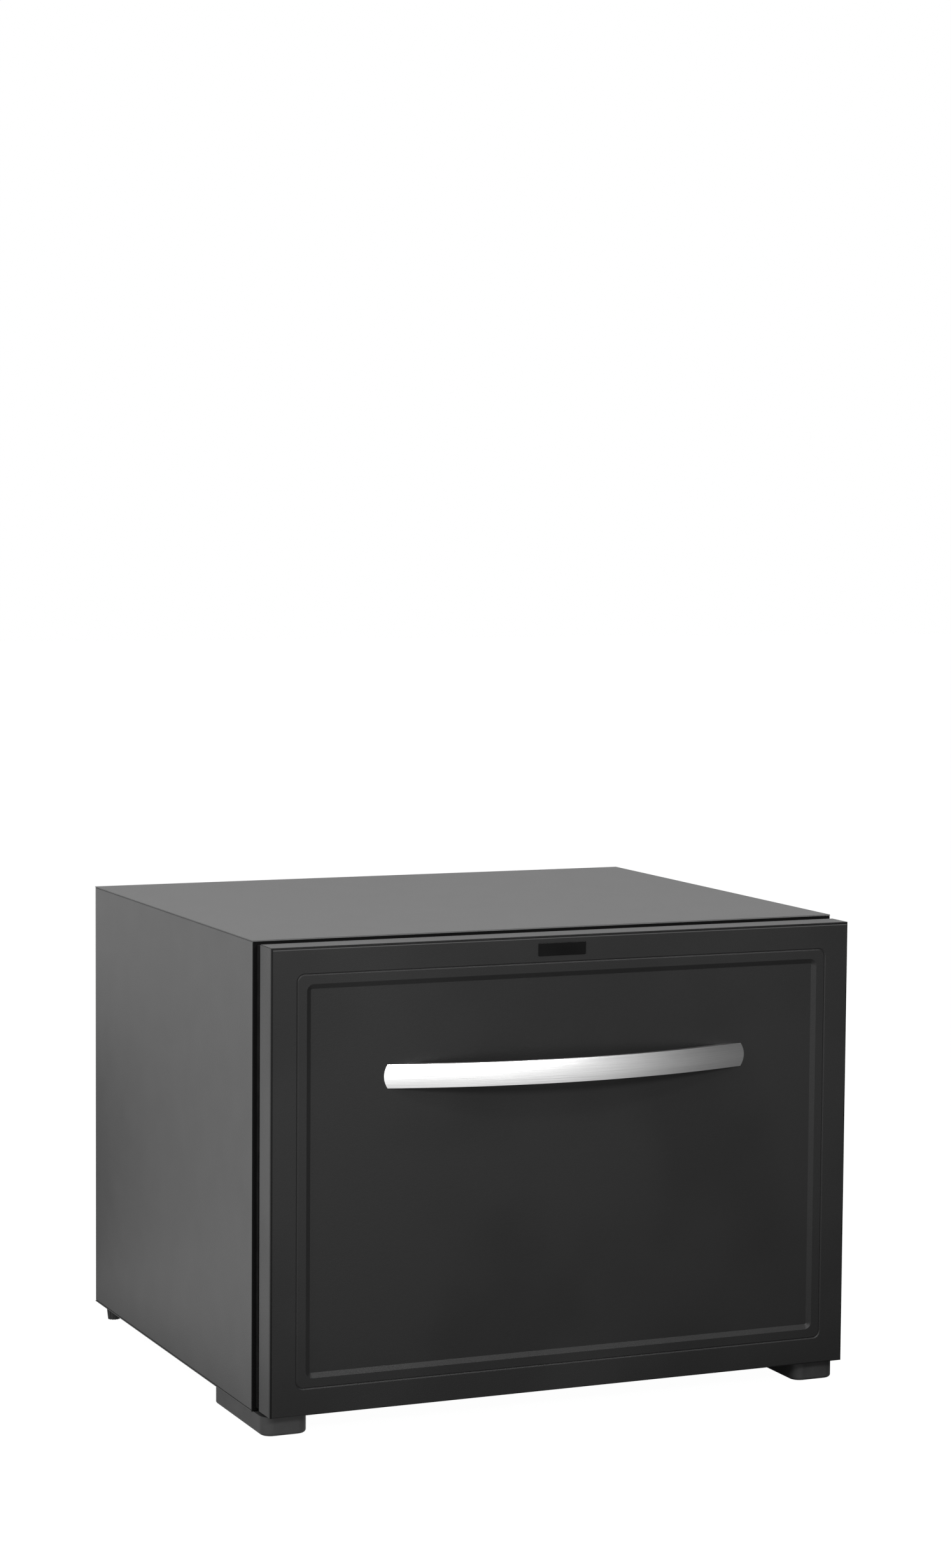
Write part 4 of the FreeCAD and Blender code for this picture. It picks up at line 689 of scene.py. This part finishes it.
def add_fan_frame(name, half, ys, hub_r):
    """Frame, duct, struts and hub plate of one fan."""
    housing = add_block(name, (-half, half), ys, (fan_z - half, fan_z + half))
    pick_edges(lambda p, q: not near(p.y, q.y))
    round_off(frame_corner_r, 5)
    pick_edges(lambda p, q: near(p.y, q.y))
    round_off(frame_edge_r, 2)
    duct_r = half - duct_rim
    duct = add_rod("duct", (0, ys[0] - 1, fan_z), (0, ys[1] + 1, fan_z), duct_r, sides=72)
    cut_away(housing, duct)
    open_piece(housing)
    pick_edges(
        lambda p, q: near(p.y, q.y)
        and all(abs(math.hypot(end.x, end.z - fan_z) - duct_r) < 0.2 for end in (p, q))
    )
    round_off(duct_edge_r, 2)
    straight = half - frame_corner_r * 2
    run = (-straight, straight)
    waist_y = (ys[0] + frame_flange_t, ys[1] - frame_flange_t)
    for side in (-1, 1):
        for upright in (True, False):
            out = sorted((side * (half - frame_waist), side * (half + 1)))
            xs, zs = (out, run) if upright else (run, out)
            tool = add_block("waist_tool", xs, waist_y, [fan_z + z for z in zs])
            cut_away(housing, tool)
    for x in (-1, 1):
        for z in (-1, 1):
            hole_x = x * (half - frame_hole_inset)
            hole_z = fan_z + z * (half - frame_hole_inset)
            hole = add_rod(
                "hole", (hole_x, ys[0] - 1, hole_z), (hole_x, ys[1] + 1, hole_z),
                frame_hole_r, sides=16,
            )
            cut_away(housing, hole)
    plate = add_rod(
        "hub_plate", (0, ys[1] - hub_plate_t, fan_z), (0, ys[1], fan_z), hub_r, sides=48
    )
    pick_edges(lambda p, q: near(p.y, q.y) and (p - q).length < hub_r)
    round_off(0.7, 2)
    strut = add_block(
        "strut", (hub_r - 1, duct_r + 1), (ys[1] - hub_plate_t, ys[1] - 0.2),
        (fan_z - strut_w / 2, fan_z + strut_w / 2),
    )
    pick_edges(lambda p, q: not near(p.x, q.x))
    round_off(0.8, 2)
    struts = []
    for i in range(strut_count):
        turn = (math.tau * (i + 0.25) / strut_count, "Y", (0, 0, fan_z))
        struts.append(copied(strut, turn=turn))
    bpy.data.objects.remove(strut)
    return put_together(name, [housing, plate] + struts)


def add_fan_rotor(name, tip_r, ys, hub_r, spindle_end):
    """Cap, spindle and blades of one fan."""
    cap = add_rod(name, (0, ys[0], fan_z), (0, ys[1], fan_z), hub_r, sides=48)
    pick_edges(lambda p, q: near(p.y, ys[0]) and near(q.y, ys[0]))
    round_off(2.0, 4)
    pick_faces(lambda middle, normal: normal.y < -0.9)
    bpy.ops.mesh.inset(thickness=0.0035, depth=0)
    bpy.ops.mesh.inset(thickness=0.0005, depth=-0.0004)
    spindle = add_rod(
        "spindle", (0, ys[1] - 1, fan_z), (0, spindle_end, fan_z), spindle_r, sides=20
    )
    pick_edges(lambda p, q: near(p.y, spindle_end) and near(q.y, spindle_end))
    round_off(0.3, 2)
    middle_y = (ys[0] + ys[1]) / 2
    swept_y = (ys[0] + blade_gap, ys[1] - blade_gap)
    chord = (ys[1] - ys[0] - 4 * blade_gap - blade_t) / math.sin(blade_pitch)
    blade = add_block(
        "blade", (-chord / 2, chord / 2), (middle_y - blade_t / 2, middle_y + blade_t / 2),
        (fan_z + hub_r - 1, fan_z + tip_r + 3),
    )
    bpy.ops.mesh.select_all(action="SELECT")
    bpy.ops.mesh.subdivide(number_cuts=5)
    pick_edges(lambda p, q: abs(p.x) < chord * 0.4 and abs(q.x) < chord * 0.4)
    bpy.ops.transform.translate(value=(0, blade_camber / 1000, 0))
    pick_edges(lambda p, q: abs(p.x) < chord * 0.2 and abs(q.x) < chord * 0.2)
    bpy.ops.transform.translate(value=(0, blade_camber / 3000, 0))
    rows = sorted({round(v.co.z * 1000, 3) for v in bmesh.from_edit_mesh(blade.data).verts})
    for i, row in enumerate(rows):
        share = i / (len(rows) - 1)
        width_share = blade_root_share + (1 - blade_root_share) * min(1, share * 1.6)
        centre = (0, middle_y / 1000, row / 1000)
        pick_edges(lambda p, q: near(p.z, row) and near(q.z, row))
        bpy.ops.transform.resize(value=(width_share, 1, 1), center_override=centre)
        bpy.ops.transform.rotate(
            value=-blade_pitch * (1.18 - 0.25 * share), orient_axis="Z", center_override=centre
        )
    tube = add_rod("sweep", (0, swept_y[0], fan_z), (0, swept_y[1], fan_z), tip_r, sides=96)
    cut_away(blade, tube, "INTERSECT")
    blades = []
    for i in range(blade_count):
        blades.append(copied(blade, turn=(math.tau * i / blade_count, "Y", (0, 0, fan_z))))
    bpy.data.objects.remove(blade)
    return put_together(name, [cap, spindle] + blades)


fan = add_fan_frame("rear_fan_housing", 60.0, (202.0, 227.0), 21.6)
set_in(fan, black_plastic, "cabinet", "black_plastic", "rear_fan_frame")
rotor = add_fan_rotor("rear_fan_blades", 55.4, (202.4, 223.1), 21.6, 226.6)
set_in(rotor, black_plastic, "rear_fan", "black_plastic", "rear_fan_rotor")
fan = add_fan_frame("inner_fan_housing", 40.0, (105.4, 120.4), 14.4)
set_in(fan, black_plastic, "cabinet", "black_plastic", "inner_fan_frame")
rotor = add_fan_rotor("inner_fan_blades", 35.6, (105.8, 116.5), 14.4, 120.0)
set_in(rotor, black_plastic, "inner_fan", "black_plastic", "inner_fan_rotor")

# Air cover: a pale moulded box over the inner fan, with a round grille in front,
# outlets above and below, and a flange each side for one screw.
air_cover_ease = 0.5
air_seats = ((-125.5, 141.4, 197.0), (125.5, 141.4, 197.0))


def eased(node, name, r, steps=2):
    """A copy of a CAD piece whose sharp edges are rounded a little."""
    put_down()
    piece = bpy.data.objects.new(name, nodes[node].data.copy())
    bpy.context.collection.objects.link(piece)
    open_piece(piece)
    bpy.ops.mesh.select_all(action="SELECT")
    bpy.ops.mesh.remove_doubles(threshold=0.000002)
    bpy.ops.mesh.dissolve_limited(angle_limit=math.radians(0.5))
    pick_up(piece)
    rounding = piece.modifiers.new("rounding", "BEVEL")
    rounding.width = r / 1000
    rounding.segments = steps
    rounding.limit_method = "ANGLE"
    rounding.angle_limit = math.radians(35)
    rounding.use_clamp_overlap = True
    bpy.ops.object.modifier_apply(modifier=rounding.name)
    return piece


cover = eased("air_cover", "air_cover_shell", air_cover_ease)
set_in(cover, liner_plastic, "cabinet", "liner_plastic", "air_cover")
screws = add_screws("air_cover_fixings", 10.0, air_seats, (0, -1, 0))
set_in(screws, zinc, "cabinet", "screw_steel", "air_cover_screws")

# Thermostat: a small control box behind the air cover, and its fluted knob in front
# with a raised pale pointer. Seven moulded marks on the cover show its range.
knob_x, knob_z = 92.0, 197.0
knob_r = 13.9
knob_y = (88.7, 100.7)
knob_taper = 0.7
knob_edge_r = 0.5
knob_strips = 64
dished_r = 8.0
flute_out = 0.9
shaft_r = 2.9
shaft_end = 106.4
pointer_w = 1.8
pointer_t = 1.1
pointer_r = (3.5, 12.5)
mark_count = 7
mark_w = 1.2
mark_r = (17.5, 20.5)
mark_ys = (100.5, 101.0)

knob = add_rod(
    "knob_cap", (knob_x, knob_y[1], knob_z), (knob_x, knob_y[0], knob_z),
    knob_r, knob_r - knob_taper, knob_strips,
)


def on_flute(middle, normal):
    """Every other strip round the knob."""
    turn = math.atan2(middle.z - knob_z, middle.x - knob_x)
    return abs(normal.y) < 0.5 and round(turn / math.tau * knob_strips - 0.5) % 4 < 2


pick_faces(on_flute)
bpy.ops.mesh.extrude_region_shrink_fatten(TRANSFORM_OT_shrink_fatten={"value": flute_out / 1000})
pick_edges(lambda p, q: near(p.y, knob_y[0]) and near(q.y, knob_y[0]))
round_off(knob_edge_r, 2)
pick_faces(
    lambda middle, normal: normal.y < -0.9
    and math.hypot(middle.x - knob_x, middle.z - knob_z) < dished_r
)
bpy.ops.mesh.inset(thickness=0.0022, depth=0)
bpy.ops.mesh.inset(thickness=0.0006, depth=-0.0006)
shaft = add_rod(
    "shaft", (knob_x, knob_y[1] - 1, knob_z), (knob_x, shaft_end, knob_z), shaft_r, sides=28
)
pick_edges(lambda p, q: near(p.y, shaft_end) and near(q.y, shaft_end))
round_off(0.4, 2)
knob = put_together("thermostat_knob_fluted", [knob, shaft])
set_in(knob, black_plastic, "thermostat", "black_plastic", "thermostat_knob")

pointer = add_block(
    "thermostat_pointer", (knob_x - pointer_w / 2, knob_x + pointer_w / 2),
    (knob_y[0] + 0.1, knob_y[0] + 0.1 + pointer_t),
    (knob_z + pointer_r[0], knob_z + pointer_r[1]),
)
bpy.ops.mesh.select_all(action="SELECT")
round_off(0.3, 2)
set_in(pointer, liner_plastic, "thermostat", "liner_plastic")

marks = []
for i in range(mark_count):
    mark = add_block(
        "mark", (knob_x - mark_w / 2, knob_x + mark_w / 2), mark_ys,
        (knob_z + mark_r[0], knob_z + mark_r[1]),
    )
    pick_edges(lambda p, q: near(p.y, mark_ys[0]) and near(q.y, mark_ys[0]))
    round_off(0.2, 2)
    turn = (math.radians(-135 + 270 * i / (mark_count - 1)), "Y", (knob_x, 0, knob_z))
    marks.append(copied(mark, turn=turn))
    bpy.data.objects.remove(mark)
set_in(put_together("thermostat_marks", marks), black_plastic, "cabinet", "black_plastic")
dress(black_plastic, "thermostat_body")

# Electrics in the rear bay: a power supply in a plain steel box and a control board
# with its relays, both fixed to the rear wall of the cabinet.
supply_steel, tree, shader = new_material("supply_steel")
set_finish(shader, 0.38, 0.5)
shader.inputs["Metallic"].default_value = 1.0
add_tint(
    tree, grain(tree, 25, 5), shader.inputs["Base Color"], (0.48, 0.49, 0.50), (0.58, 0.59, 0.60)
)
add_bump(tree, shader, grain(tree, 1200, 2, (0.04, 1, 1)), 0.0001, 0.25)
box_shell = eased("power_supply", "power_supply_box", 0.6)
set_in(box_shell, supply_steel, "cabinet", "supply_steel", "power_supply")

solder_mask, tree, shader = new_material("green_solder_mask")
set_finish(shader, 0.3, 0.5)
tracks = grain(tree, 160, 1, (1, 1, 0.25))
add_tint(tree, tracks, shader.inputs["Base Color"], (0.012, 0.075, 0.030), (0.020, 0.120, 0.050))
add_bump(tree, shader, tracks, 0.0002, 0.4)
dress(solder_mask, "control_board", "lamp_board")

# Lamp and door switch: a ribbed lens of frosted plastic in the cavity's ceiling over
# a small board, and a reed switch in a glass tube behind the front of the liner.
frosted, tree, shader = new_material("frosted_lens")
set_finish(shader, 0.35, 0.5)
shader.inputs["Transmission Weight"].default_value = 0.55
shader.inputs["IOR"].default_value = 1.49
add_tint(tree, grain(tree, 90), shader.inputs["Base Color"], (0.80, 0.81, 0.80), (0.86, 0.87, 0.86))
add_bump(tree, shader, grain(tree, 1, 1, (900, 20, 20)), 0.0004, 0.5)
lens = eased("lamp_lens", "lamp_lens_cap", 0.5)
set_in(lens, frosted, "cabinet", "lens_plastic", "lamp_lens")

switch_glass, tree, shader = new_material("switch_glass")
set_finish(shader, 0.12, 0.5)
shader.inputs["Transmission Weight"].default_value = 0.35
add_tint(
    tree, grain(tree, 200), shader.inputs["Base Color"], (0.30, 0.38, 0.34), (0.38, 0.46, 0.42)
)
dress(switch_glass, "reed_switch")

# Rear cover: a sheet of black painted steel over the rear bay, screwed on round its
# edge. Slots with round ends let the fan blow out and the air in at both sides.
cover_x = (-247.0, 247.0)
cover_y = (227.3, 228.1)
cover_z = (18.0, 376.0)
cover_corner_r = 5.0
slot_h = 6.0
slot_pitch = 13.0
side_slot_x = (84.0, 130.0)
side_slots = 8
grille_r = 54.8
cover_rim = [(0, 174.5), (0, -174.5)]
cover_rim += [(x, z) for x in (-242.5, 242.5) for z in (-91.0, 91.0)]
fan_rim = [(x, z) for x in (-53.3, 53.3) for z in (-53.3, 53.3)]
gland_x, gland_z = 190.0, 49.0
gland_r = 7.8
gland_y = 215.7

cover_paint, tree, shader = new_material("rear_cover_paint")
set_finish(shader, 0.42, 0.45)
add_bump(tree, shader, grain(tree, 600), 0.0003, 0.22)
add_tint(tree, grain(tree, 20, 4), shader.inputs["Base Color"], 0.014, 0.020)

cover = add_block("rear_cover_sheet", cover_x, cover_y, cover_z)
pick_edges(lambda p, q: not near(p.y, q.y))
round_off(cover_corner_r, 5)


def add_slot(x0, x1, z):
    """A round-ended tool as long as one slot."""
    r = slot_h / 2
    ends = (cover_y[0] - 1, cover_y[1] + 1)
    slot = add_rod("slot", (x0 + r, ends[0], z), (x0 + r, ends[1], z), r, sides=16)
    pick_edges(lambda p, q: p.x > x0 + r + 0.01 and q.x > x0 + r + 0.01)
    bpy.ops.transform.translate(value=((x1 - x0 - slot_h) / 1000, 0, 0))
    put_down()
    return slot


slots = []
rows = int((grille_r - slot_h) / slot_pitch)
for i in range(-rows, rows + 1):
    half = math.sqrt(grille_r ** 2 - (abs(i) * slot_pitch + slot_h / 2) ** 2)
    slots.append(add_slot(-half, half, fan_z + i * slot_pitch))
for i in range(side_slots):
    z = fan_z + (i - (side_slots - 1) / 2) * slot_pitch
    slots.append(add_slot(side_slot_x[0], side_slot_x[1], z))
    slots.append(add_slot(-side_slot_x[1], -side_slot_x[0], z))
gland_hole = add_rod(
    "hole", (gland_x, cover_y[0] - 1, gland_z), (gland_x, cover_y[1] + 1, gland_z), gland_r
)
cut_away(cover, put_together("slots", slots + [gland_hole]))
set_in(cover, cover_paint, "cabinet", "black_steel", "rear_cover")

seats = [(x, cover_y[1], fan_z + z) for x, z in cover_rim + fan_rim]
screws = add_screws("rear_cover_fixings", 6.0, seats, (0, 1, 0))
set_in(screws, zinc, "cabinet", "screw_steel", "rear_cover_screws")

# Cord gland: a round bush of black plastic, pushed into the rear cover up to its
# collar. The mains cord leaves through it.
bush_r = gland_r - 0.05
bush_end = cover_y[1] + 0.1
collar_r = 11.0
collar_end = 229.7
cord_bore_r = 3.6

gland = add_rod("cord_bush", (gland_x, gland_y, gland_z), (gland_x, bush_end, gland_z), bush_r)
collar = add_rod(
    "collar", (gland_x, cover_y[1], gland_z), (gland_x, collar_end, gland_z), collar_r, sides=48
)
pick_edges(lambda p, q: near(p.y, collar_end) and near(q.y, collar_end))
round_off(0.8, 3)
for shell in (gland, collar):
    bore = add_rod("bore", (gland_x, 200, gland_z), (gland_x, 240, gland_z), cord_bore_r, sides=32)
    cut_away(shell, bore)
gland = put_together("cord_bush", [gland, collar])
set_in(gland, black_plastic, "cabinet", "black_plastic", "cord_gland")

# Runners: three C-shaped members a side, roll-formed from galvanised strip with
# rounded bends. The outer one is screwed to the cavity wall with flush screws, and
# natural nylon glides keep the members apart.
runner_bend_r = 0.55
flush_x = -212.0
flush_y = (-126.2, 53.8)
flush_z = 158.0
flush_head_t = 1.15
flush_end = -225.7
flush_point_l = 4.0
flush_point_r = 0.3

members = (
    ("runner_outer_left", "cabinet"), ("runner_outer_right", "cabinet"),
    ("runner_middle_left", "runner_stage_left"), ("runner_middle_right", "runner_stage_right"),
    ("runner_inner_left", "drawer"), ("runner_inner_right", "drawer"),
)
for node, body in members:
    member = eased(node, node.replace("runner", "rolled_runner"), runner_bend_r, 3)
    set_in(member, galvanised, body, "galvanised_steel", node)

nylon, tree, shader = new_material("natural_nylon")
set_finish(shader, 0.42, 0.5)
shader.inputs["Subsurface Weight"].default_value = 0.2
shader.inputs["Subsurface Scale"].default_value = 0.002
add_tint(tree, grain(tree, 70), shader.inputs["Base Color"], (0.70, 0.68, 0.60), (0.78, 0.76, 0.69))
add_bump(tree, shader, grain(tree, 800, 2), 0.0001, 0.2)
dress(
    nylon, "runner_outer_glides", "runner_inner_glides",
    "runner_middle_glides_left", "runner_middle_glides_right",
)

flush_screws = []
point_x = flush_end + flush_point_l
for y in flush_y:
    head = add_rod(
        "head", (flush_x, y, flush_z), (flush_x + flush_head_t, y, flush_z),
        screw_r, screw_r + flush_head_t, 24,
    )
    for wide, high in ((slot_l / 2, slot_t / 2), (slot_t / 2, slot_l / 2)):
        tool = add_block(
            "slot_tool", (flush_x + 0.5, flush_x + 2), (y - wide, y + wide),
            (flush_z - high, flush_z + high),
        )
        cut_away(head, tool)
    shank = add_rod(
        "shank", (flush_x + 0.2, y, flush_z), (point_x, y, flush_z), screw_r, sides=14
    )
    point = add_rod(
        "point", (point_x, y, flush_z), (flush_end, y, flush_z), screw_r, flush_point_r, 14
    )
    flush_screws.append(put_together("flush_screw", [head, shank, point]))
left = put_together("runner_fixings", flush_screws)
right = mirrored(left, "runner_fixings_right")
screws = put_together("runner_fixings", [left, right])
set_in(screws, zinc, "cabinet", "screw_steel", "runner_screws")

# Drawer front: one deep pressing of steel, with an engraved line and a recessed panel.
# It has a satin black paint over a fine grain, with painted light on the walls behind
# the front face, painted shade round the fold and a painted highlight just under the top one.
# Painted light: the walls behind the front face are made five times paler than the face.
wall_y = (-0.2050, -0.2045)
wall_painted_light_factor = 5.0
# Painted shade round the side and top folds: a near-black colour, made metallic.
fold_y = (-0.2069, -0.2067)
fold_x = (0.2460, 0.2462)
fold_z = (0.3752, 0.3754)
painted_fold_shade = 0.010
# Painted highlight: a paler band on the front face just under the top fold.
painted_edge_highlight_z = (0.3745, 0.3747)
painted_edge_highlight_tone = 0.030

front_paint, tree, shader = new_material("drawer_front_paint")
set_finish(shader, 0.46, 0.18)
add_bump(tree, shader, grain(tree, 1300, 4), 0.0003, 0.45)
face_tone = ramp_to(tree, grain(tree, 8, 2), 0.35, 0.65, 0.006, 0.008)
in_front = along(tree, "Y", *fold_y, 1.0, 0.0)
painted_edge_highlight = combine(tree, "MULTIPLY", along(tree, "Z", *painted_edge_highlight_z, 0.0, painted_edge_highlight_tone), in_front)
wall_painted_light_gain = along(tree, "Y", *wall_y, 1.0, wall_painted_light_factor)
tone_and_painted_light = combine(tree, "MULTIPLY", face_tone, wall_painted_light_gain)
tone_and_painted_light = combine(tree, "ADD", tone_and_painted_light, painted_edge_highlight)
# Painted shade on the folds.
left_fold = along(tree, "X", -fold_x[1], -fold_x[0], 1.0, 0.0)
side_folds = combine(tree, "MAXIMUM", left_fold, along(tree, "X", *fold_x, 0.0, 1.0))
painted_fold_shade_share = combine(tree, "MAXIMUM", side_folds, along(tree, "Z", *fold_z, 0.0, 1.0))
painted_fold_shade_share = combine(tree, "MULTIPLY", painted_fold_shade_share, in_front)
tone_with_painted_light = blended(tree, painted_fold_shade_share, tone_and_painted_light, painted_fold_shade)
tree.links.new(tone_with_painted_light, shader.inputs["Base Color"])
tree.links.new(painted_fold_shade_share, shader.inputs["Metallic"])
dress(front_paint, "drawer_front_panel")

# Handle: a solid arched bar of aluminium, brushed along its length, and held from
# inside the drawer front by a screw at each end.
handle_seats = ((-140.0, -204.9, 274.1), (140.0, -204.9, 274.1))

brushed, tree, shader = new_material("brushed_bar")
set_finish(shader, 0.28, 0.5)
shader.inputs["Metallic"].default_value = 1.0
strokes = grain(tree, 1, 4, (14, 14, 2600))
add_tint(tree, strokes, shader.inputs["Base Color"], 0.70, 0.80)
add_bump(tree, shader, strokes, 0.0003, 0.35)
dress(brushed, "drawer_handle")
screws = add_screws("handle_fixings", 3.5, handle_seats, (0, 1, 0))
set_in(screws, zinc, "drawer", "screw_steel", "handle_screws")

# Name plate: a bare strip of gloss black acrylic with a rounded rim, stuck on the
# frame of the drawer front above the recess.
plate_x = (-27.3, 13.3)
plate_y = (-208.4, -207.7)
plate_z = (361.25, 371.35)
plate_corner_r = 0.8
plate_edge_r = 0.35

acrylic, tree, shader = new_material("gloss_acrylic")
set_finish(shader, 0.15, 0.05)
add_tint(tree, grain(tree, 40, 2), shader.inputs["Base Color"], 0.002, 0.003)
add_bump(tree, shader, grain(tree, 60, 1), 0.0001, 0.05)

plate = add_block("bare_name_plate", plate_x, plate_y, plate_z)
pick_edges(lambda p, q: not near(p.y, q.y))
round_off(plate_corner_r, 4)
pick_edges(lambda p, q: near(p.y, plate_y[0]) and near(q.y, plate_y[0]))
round_off(plate_edge_r, 3)
set_in(plate, acrylic, "drawer", "plate_gloss", "name_plate")

# Gasket: a black vinyl ring round the back of the drawer front, with a soft hollow
# head that holds four magnet bars and closes on the cabinet's flange.
gasket_lip_r = 0.5

vinyl, tree, shader = new_material("gasket_vinyl")
set_finish(shader, 0.7, 0.05)
add_bump(tree, shader, grain(tree, 500, 2), 0.0002, 0.2)
add_tint(tree, grain(tree, 80), shader.inputs["Base Color"], 0.002, 0.004)
ring = eased("drawer_gasket", "gasket_ring", gasket_lip_r, 3)
set_in(ring, vinyl, "drawer", "gasket_rubber", "drawer_gasket")

magnet, tree, shader = new_material("magnet_bar")
set_finish(shader, 0.55, 0.4)
add_tint(tree, grain(tree, 250), shader.inputs["Base Color"], 0.030, 0.045)
add_bump(tree, shader, grain(tree, 900), 0.0002, 0.3)
dress(magnet, "gasket_magnets", "switch_magnet")

# Drawer arms: two galvanised strips beside the runners, each bent into a tab that
# two screws hold on the inner side of the drawer front.
arm_bend_r = 0.3
arm_seat_y = -162.2
arm_seat_x = 184.8
arm_seat_z = (141.8, 174.2)

for side in ("left", "right"):
    arm = eased("drawer_arm_" + side, "folded_arm_" + side, arm_bend_r)
    set_in(arm, galvanised, "drawer", "galvanised_steel", "drawer_arm_" + side)
seats = [(side * arm_seat_x, arm_seat_y, z) for side in (-1, 1) for z in arm_seat_z]
screws = add_screws("arm_fixings", 8.0, seats, (0, 1, 0))
set_in(screws, zinc, "drawer", "screw_steel", "arm_screws")

# Drawer bin: a moulded tub of grey plastic, drafted and well rounded, which hangs on
# the arms by a rim along each side. Low ribs stiffen its floor.
bin_x = (-197.0, 197.0)
bin_y = (-159.8, 82.9)
bin_z = (59.0, 187.6)
bin_draft = 3.0
bin_r = 14.0
bin_t = 2.5
bin_lip_r = 0.6
rim_x = (196.0, 205.0)
rim_y = (-145.8, 68.9)
rim_z = (185.2, 187.6)
rim_drop = 4.0
rim_t = 2.4
rim_edge_r = 0.7
floor_rib_x = 178.0
floor_rib_h = 1.2
floor_rib_w = 2.4
floor_ribs = 9
divider_y = -57.0

bin_plastic, tree, shader = new_material("grey_bin_plastic")
set_finish(shader, 0.32, 0.5)
shader.inputs["Subsurface Weight"].default_value = 0.08
shader.inputs["Subsurface Scale"].default_value = 0.002
add_tint(
    tree, grain(tree, 14, 3), shader.inputs["Base Color"], (0.30, 0.31, 0.32), (0.34, 0.35, 0.36)
)
add_bump(tree, shader, grain(tree, 350, 2), 0.0002, 0.18)

tub = add_block("moulded_bin", bin_x, bin_y, bin_z)
pick_faces(lambda middle, normal: normal.z < -0.9)
bottom_share = [1 - 2 * bin_draft / (span[1] - span[0]) for span in (bin_x, bin_y)]
bpy.ops.transform.resize(value=(bottom_share[0], bottom_share[1], 1))
pick_edges(lambda p, q: min(p.z, q.z) < bin_z[0] + 1)
round_off(bin_r, 7)
pick_faces(lambda middle, normal: normal.z > 0.9)
bpy.ops.mesh.delete(type="FACE")
pick_up(tub)
wall = tub.modifiers.new("wall", "SOLIDIFY")
wall.thickness = bin_t / 1000
wall.offset = -1
wall.use_even_offset = True
bpy.ops.object.modifier_apply(modifier=wall.name)
open_piece(tub)
pick_edges(lambda p, q: min(p.z, q.z) > bin_z[1] - 0.4 and (p - q).length > bin_t + 0.1)
round_off(bin_lip_r, 2)
rim = add_block("rim", rim_x, rim_y, rim_z)
lip = add_block("lip", (rim_x[1] - rim_t, rim_x[1]), rim_y, (rim_z[0] - rim_drop, rim_z[1]))
for shell in (rim, lip):
    open_piece(shell)
    pick_edges(lambda p, q: min(p.x, q.x) > rim_x[1] - 0.1)
    round_off(rim_edge_r, 3)
side_rim = put_together("side_rim", [rim, lip])
other_rim = mirrored(side_rim, "other_rim")
rib = add_block(
    "floor_rib", (-floor_rib_x, floor_rib_x), (-floor_rib_w / 2, floor_rib_w / 2),
    (bin_z[0] + bin_t - 0.4, bin_z[0] + bin_t + floor_rib_h),
)
pick_edges(lambda p, q: min(p.z, q.z) > bin_z[0] + bin_t + 1)
round_off(bin_lip_r, 2)
ribs = []
floor_y = (bin_y[0] + bin_draft + bin_t, bin_y[1] - bin_draft - bin_t)
for i in range(floor_ribs):
    y = floor_y[0] + (floor_y[1] - floor_y[0]) * (i + 1) / (floor_ribs + 1)
    if abs(y - divider_y) > 2 * floor_rib_w:
        ribs.append(copied(rib, move=(0, y, 0)))
bpy.data.objects.remove(rib)
tub = put_together("moulded_bin", [tub, side_rim, other_rim] + ribs)
set_in(tub, bin_plastic, "drawer", "bin_plastic", "drawer_bin")

# Divider: a cross wall of smoky clear plastic in the bin, hollowed along its top so
# that bottles can lie with their necks in it.
divider_ease = 0.4

smoky, tree, shader = new_material("smoky_divider")
set_finish(shader, 0.18, 0.5)
shader.inputs["Transmission Weight"].default_value = 0.6
shader.inputs["IOR"].default_value = 1.5
add_tint(
    tree, grain(tree, 30, 2), shader.inputs["Base Color"], (0.50, 0.52, 0.54), (0.58, 0.60, 0.62)
)
add_bump(tree, shader, grain(tree, 120, 1), 0.0002, 0.08)
divider = eased("bin_divider", "neck_divider", divider_ease)
set_in(divider, smoky, "drawer", "divider_plastic", "bin_divider")
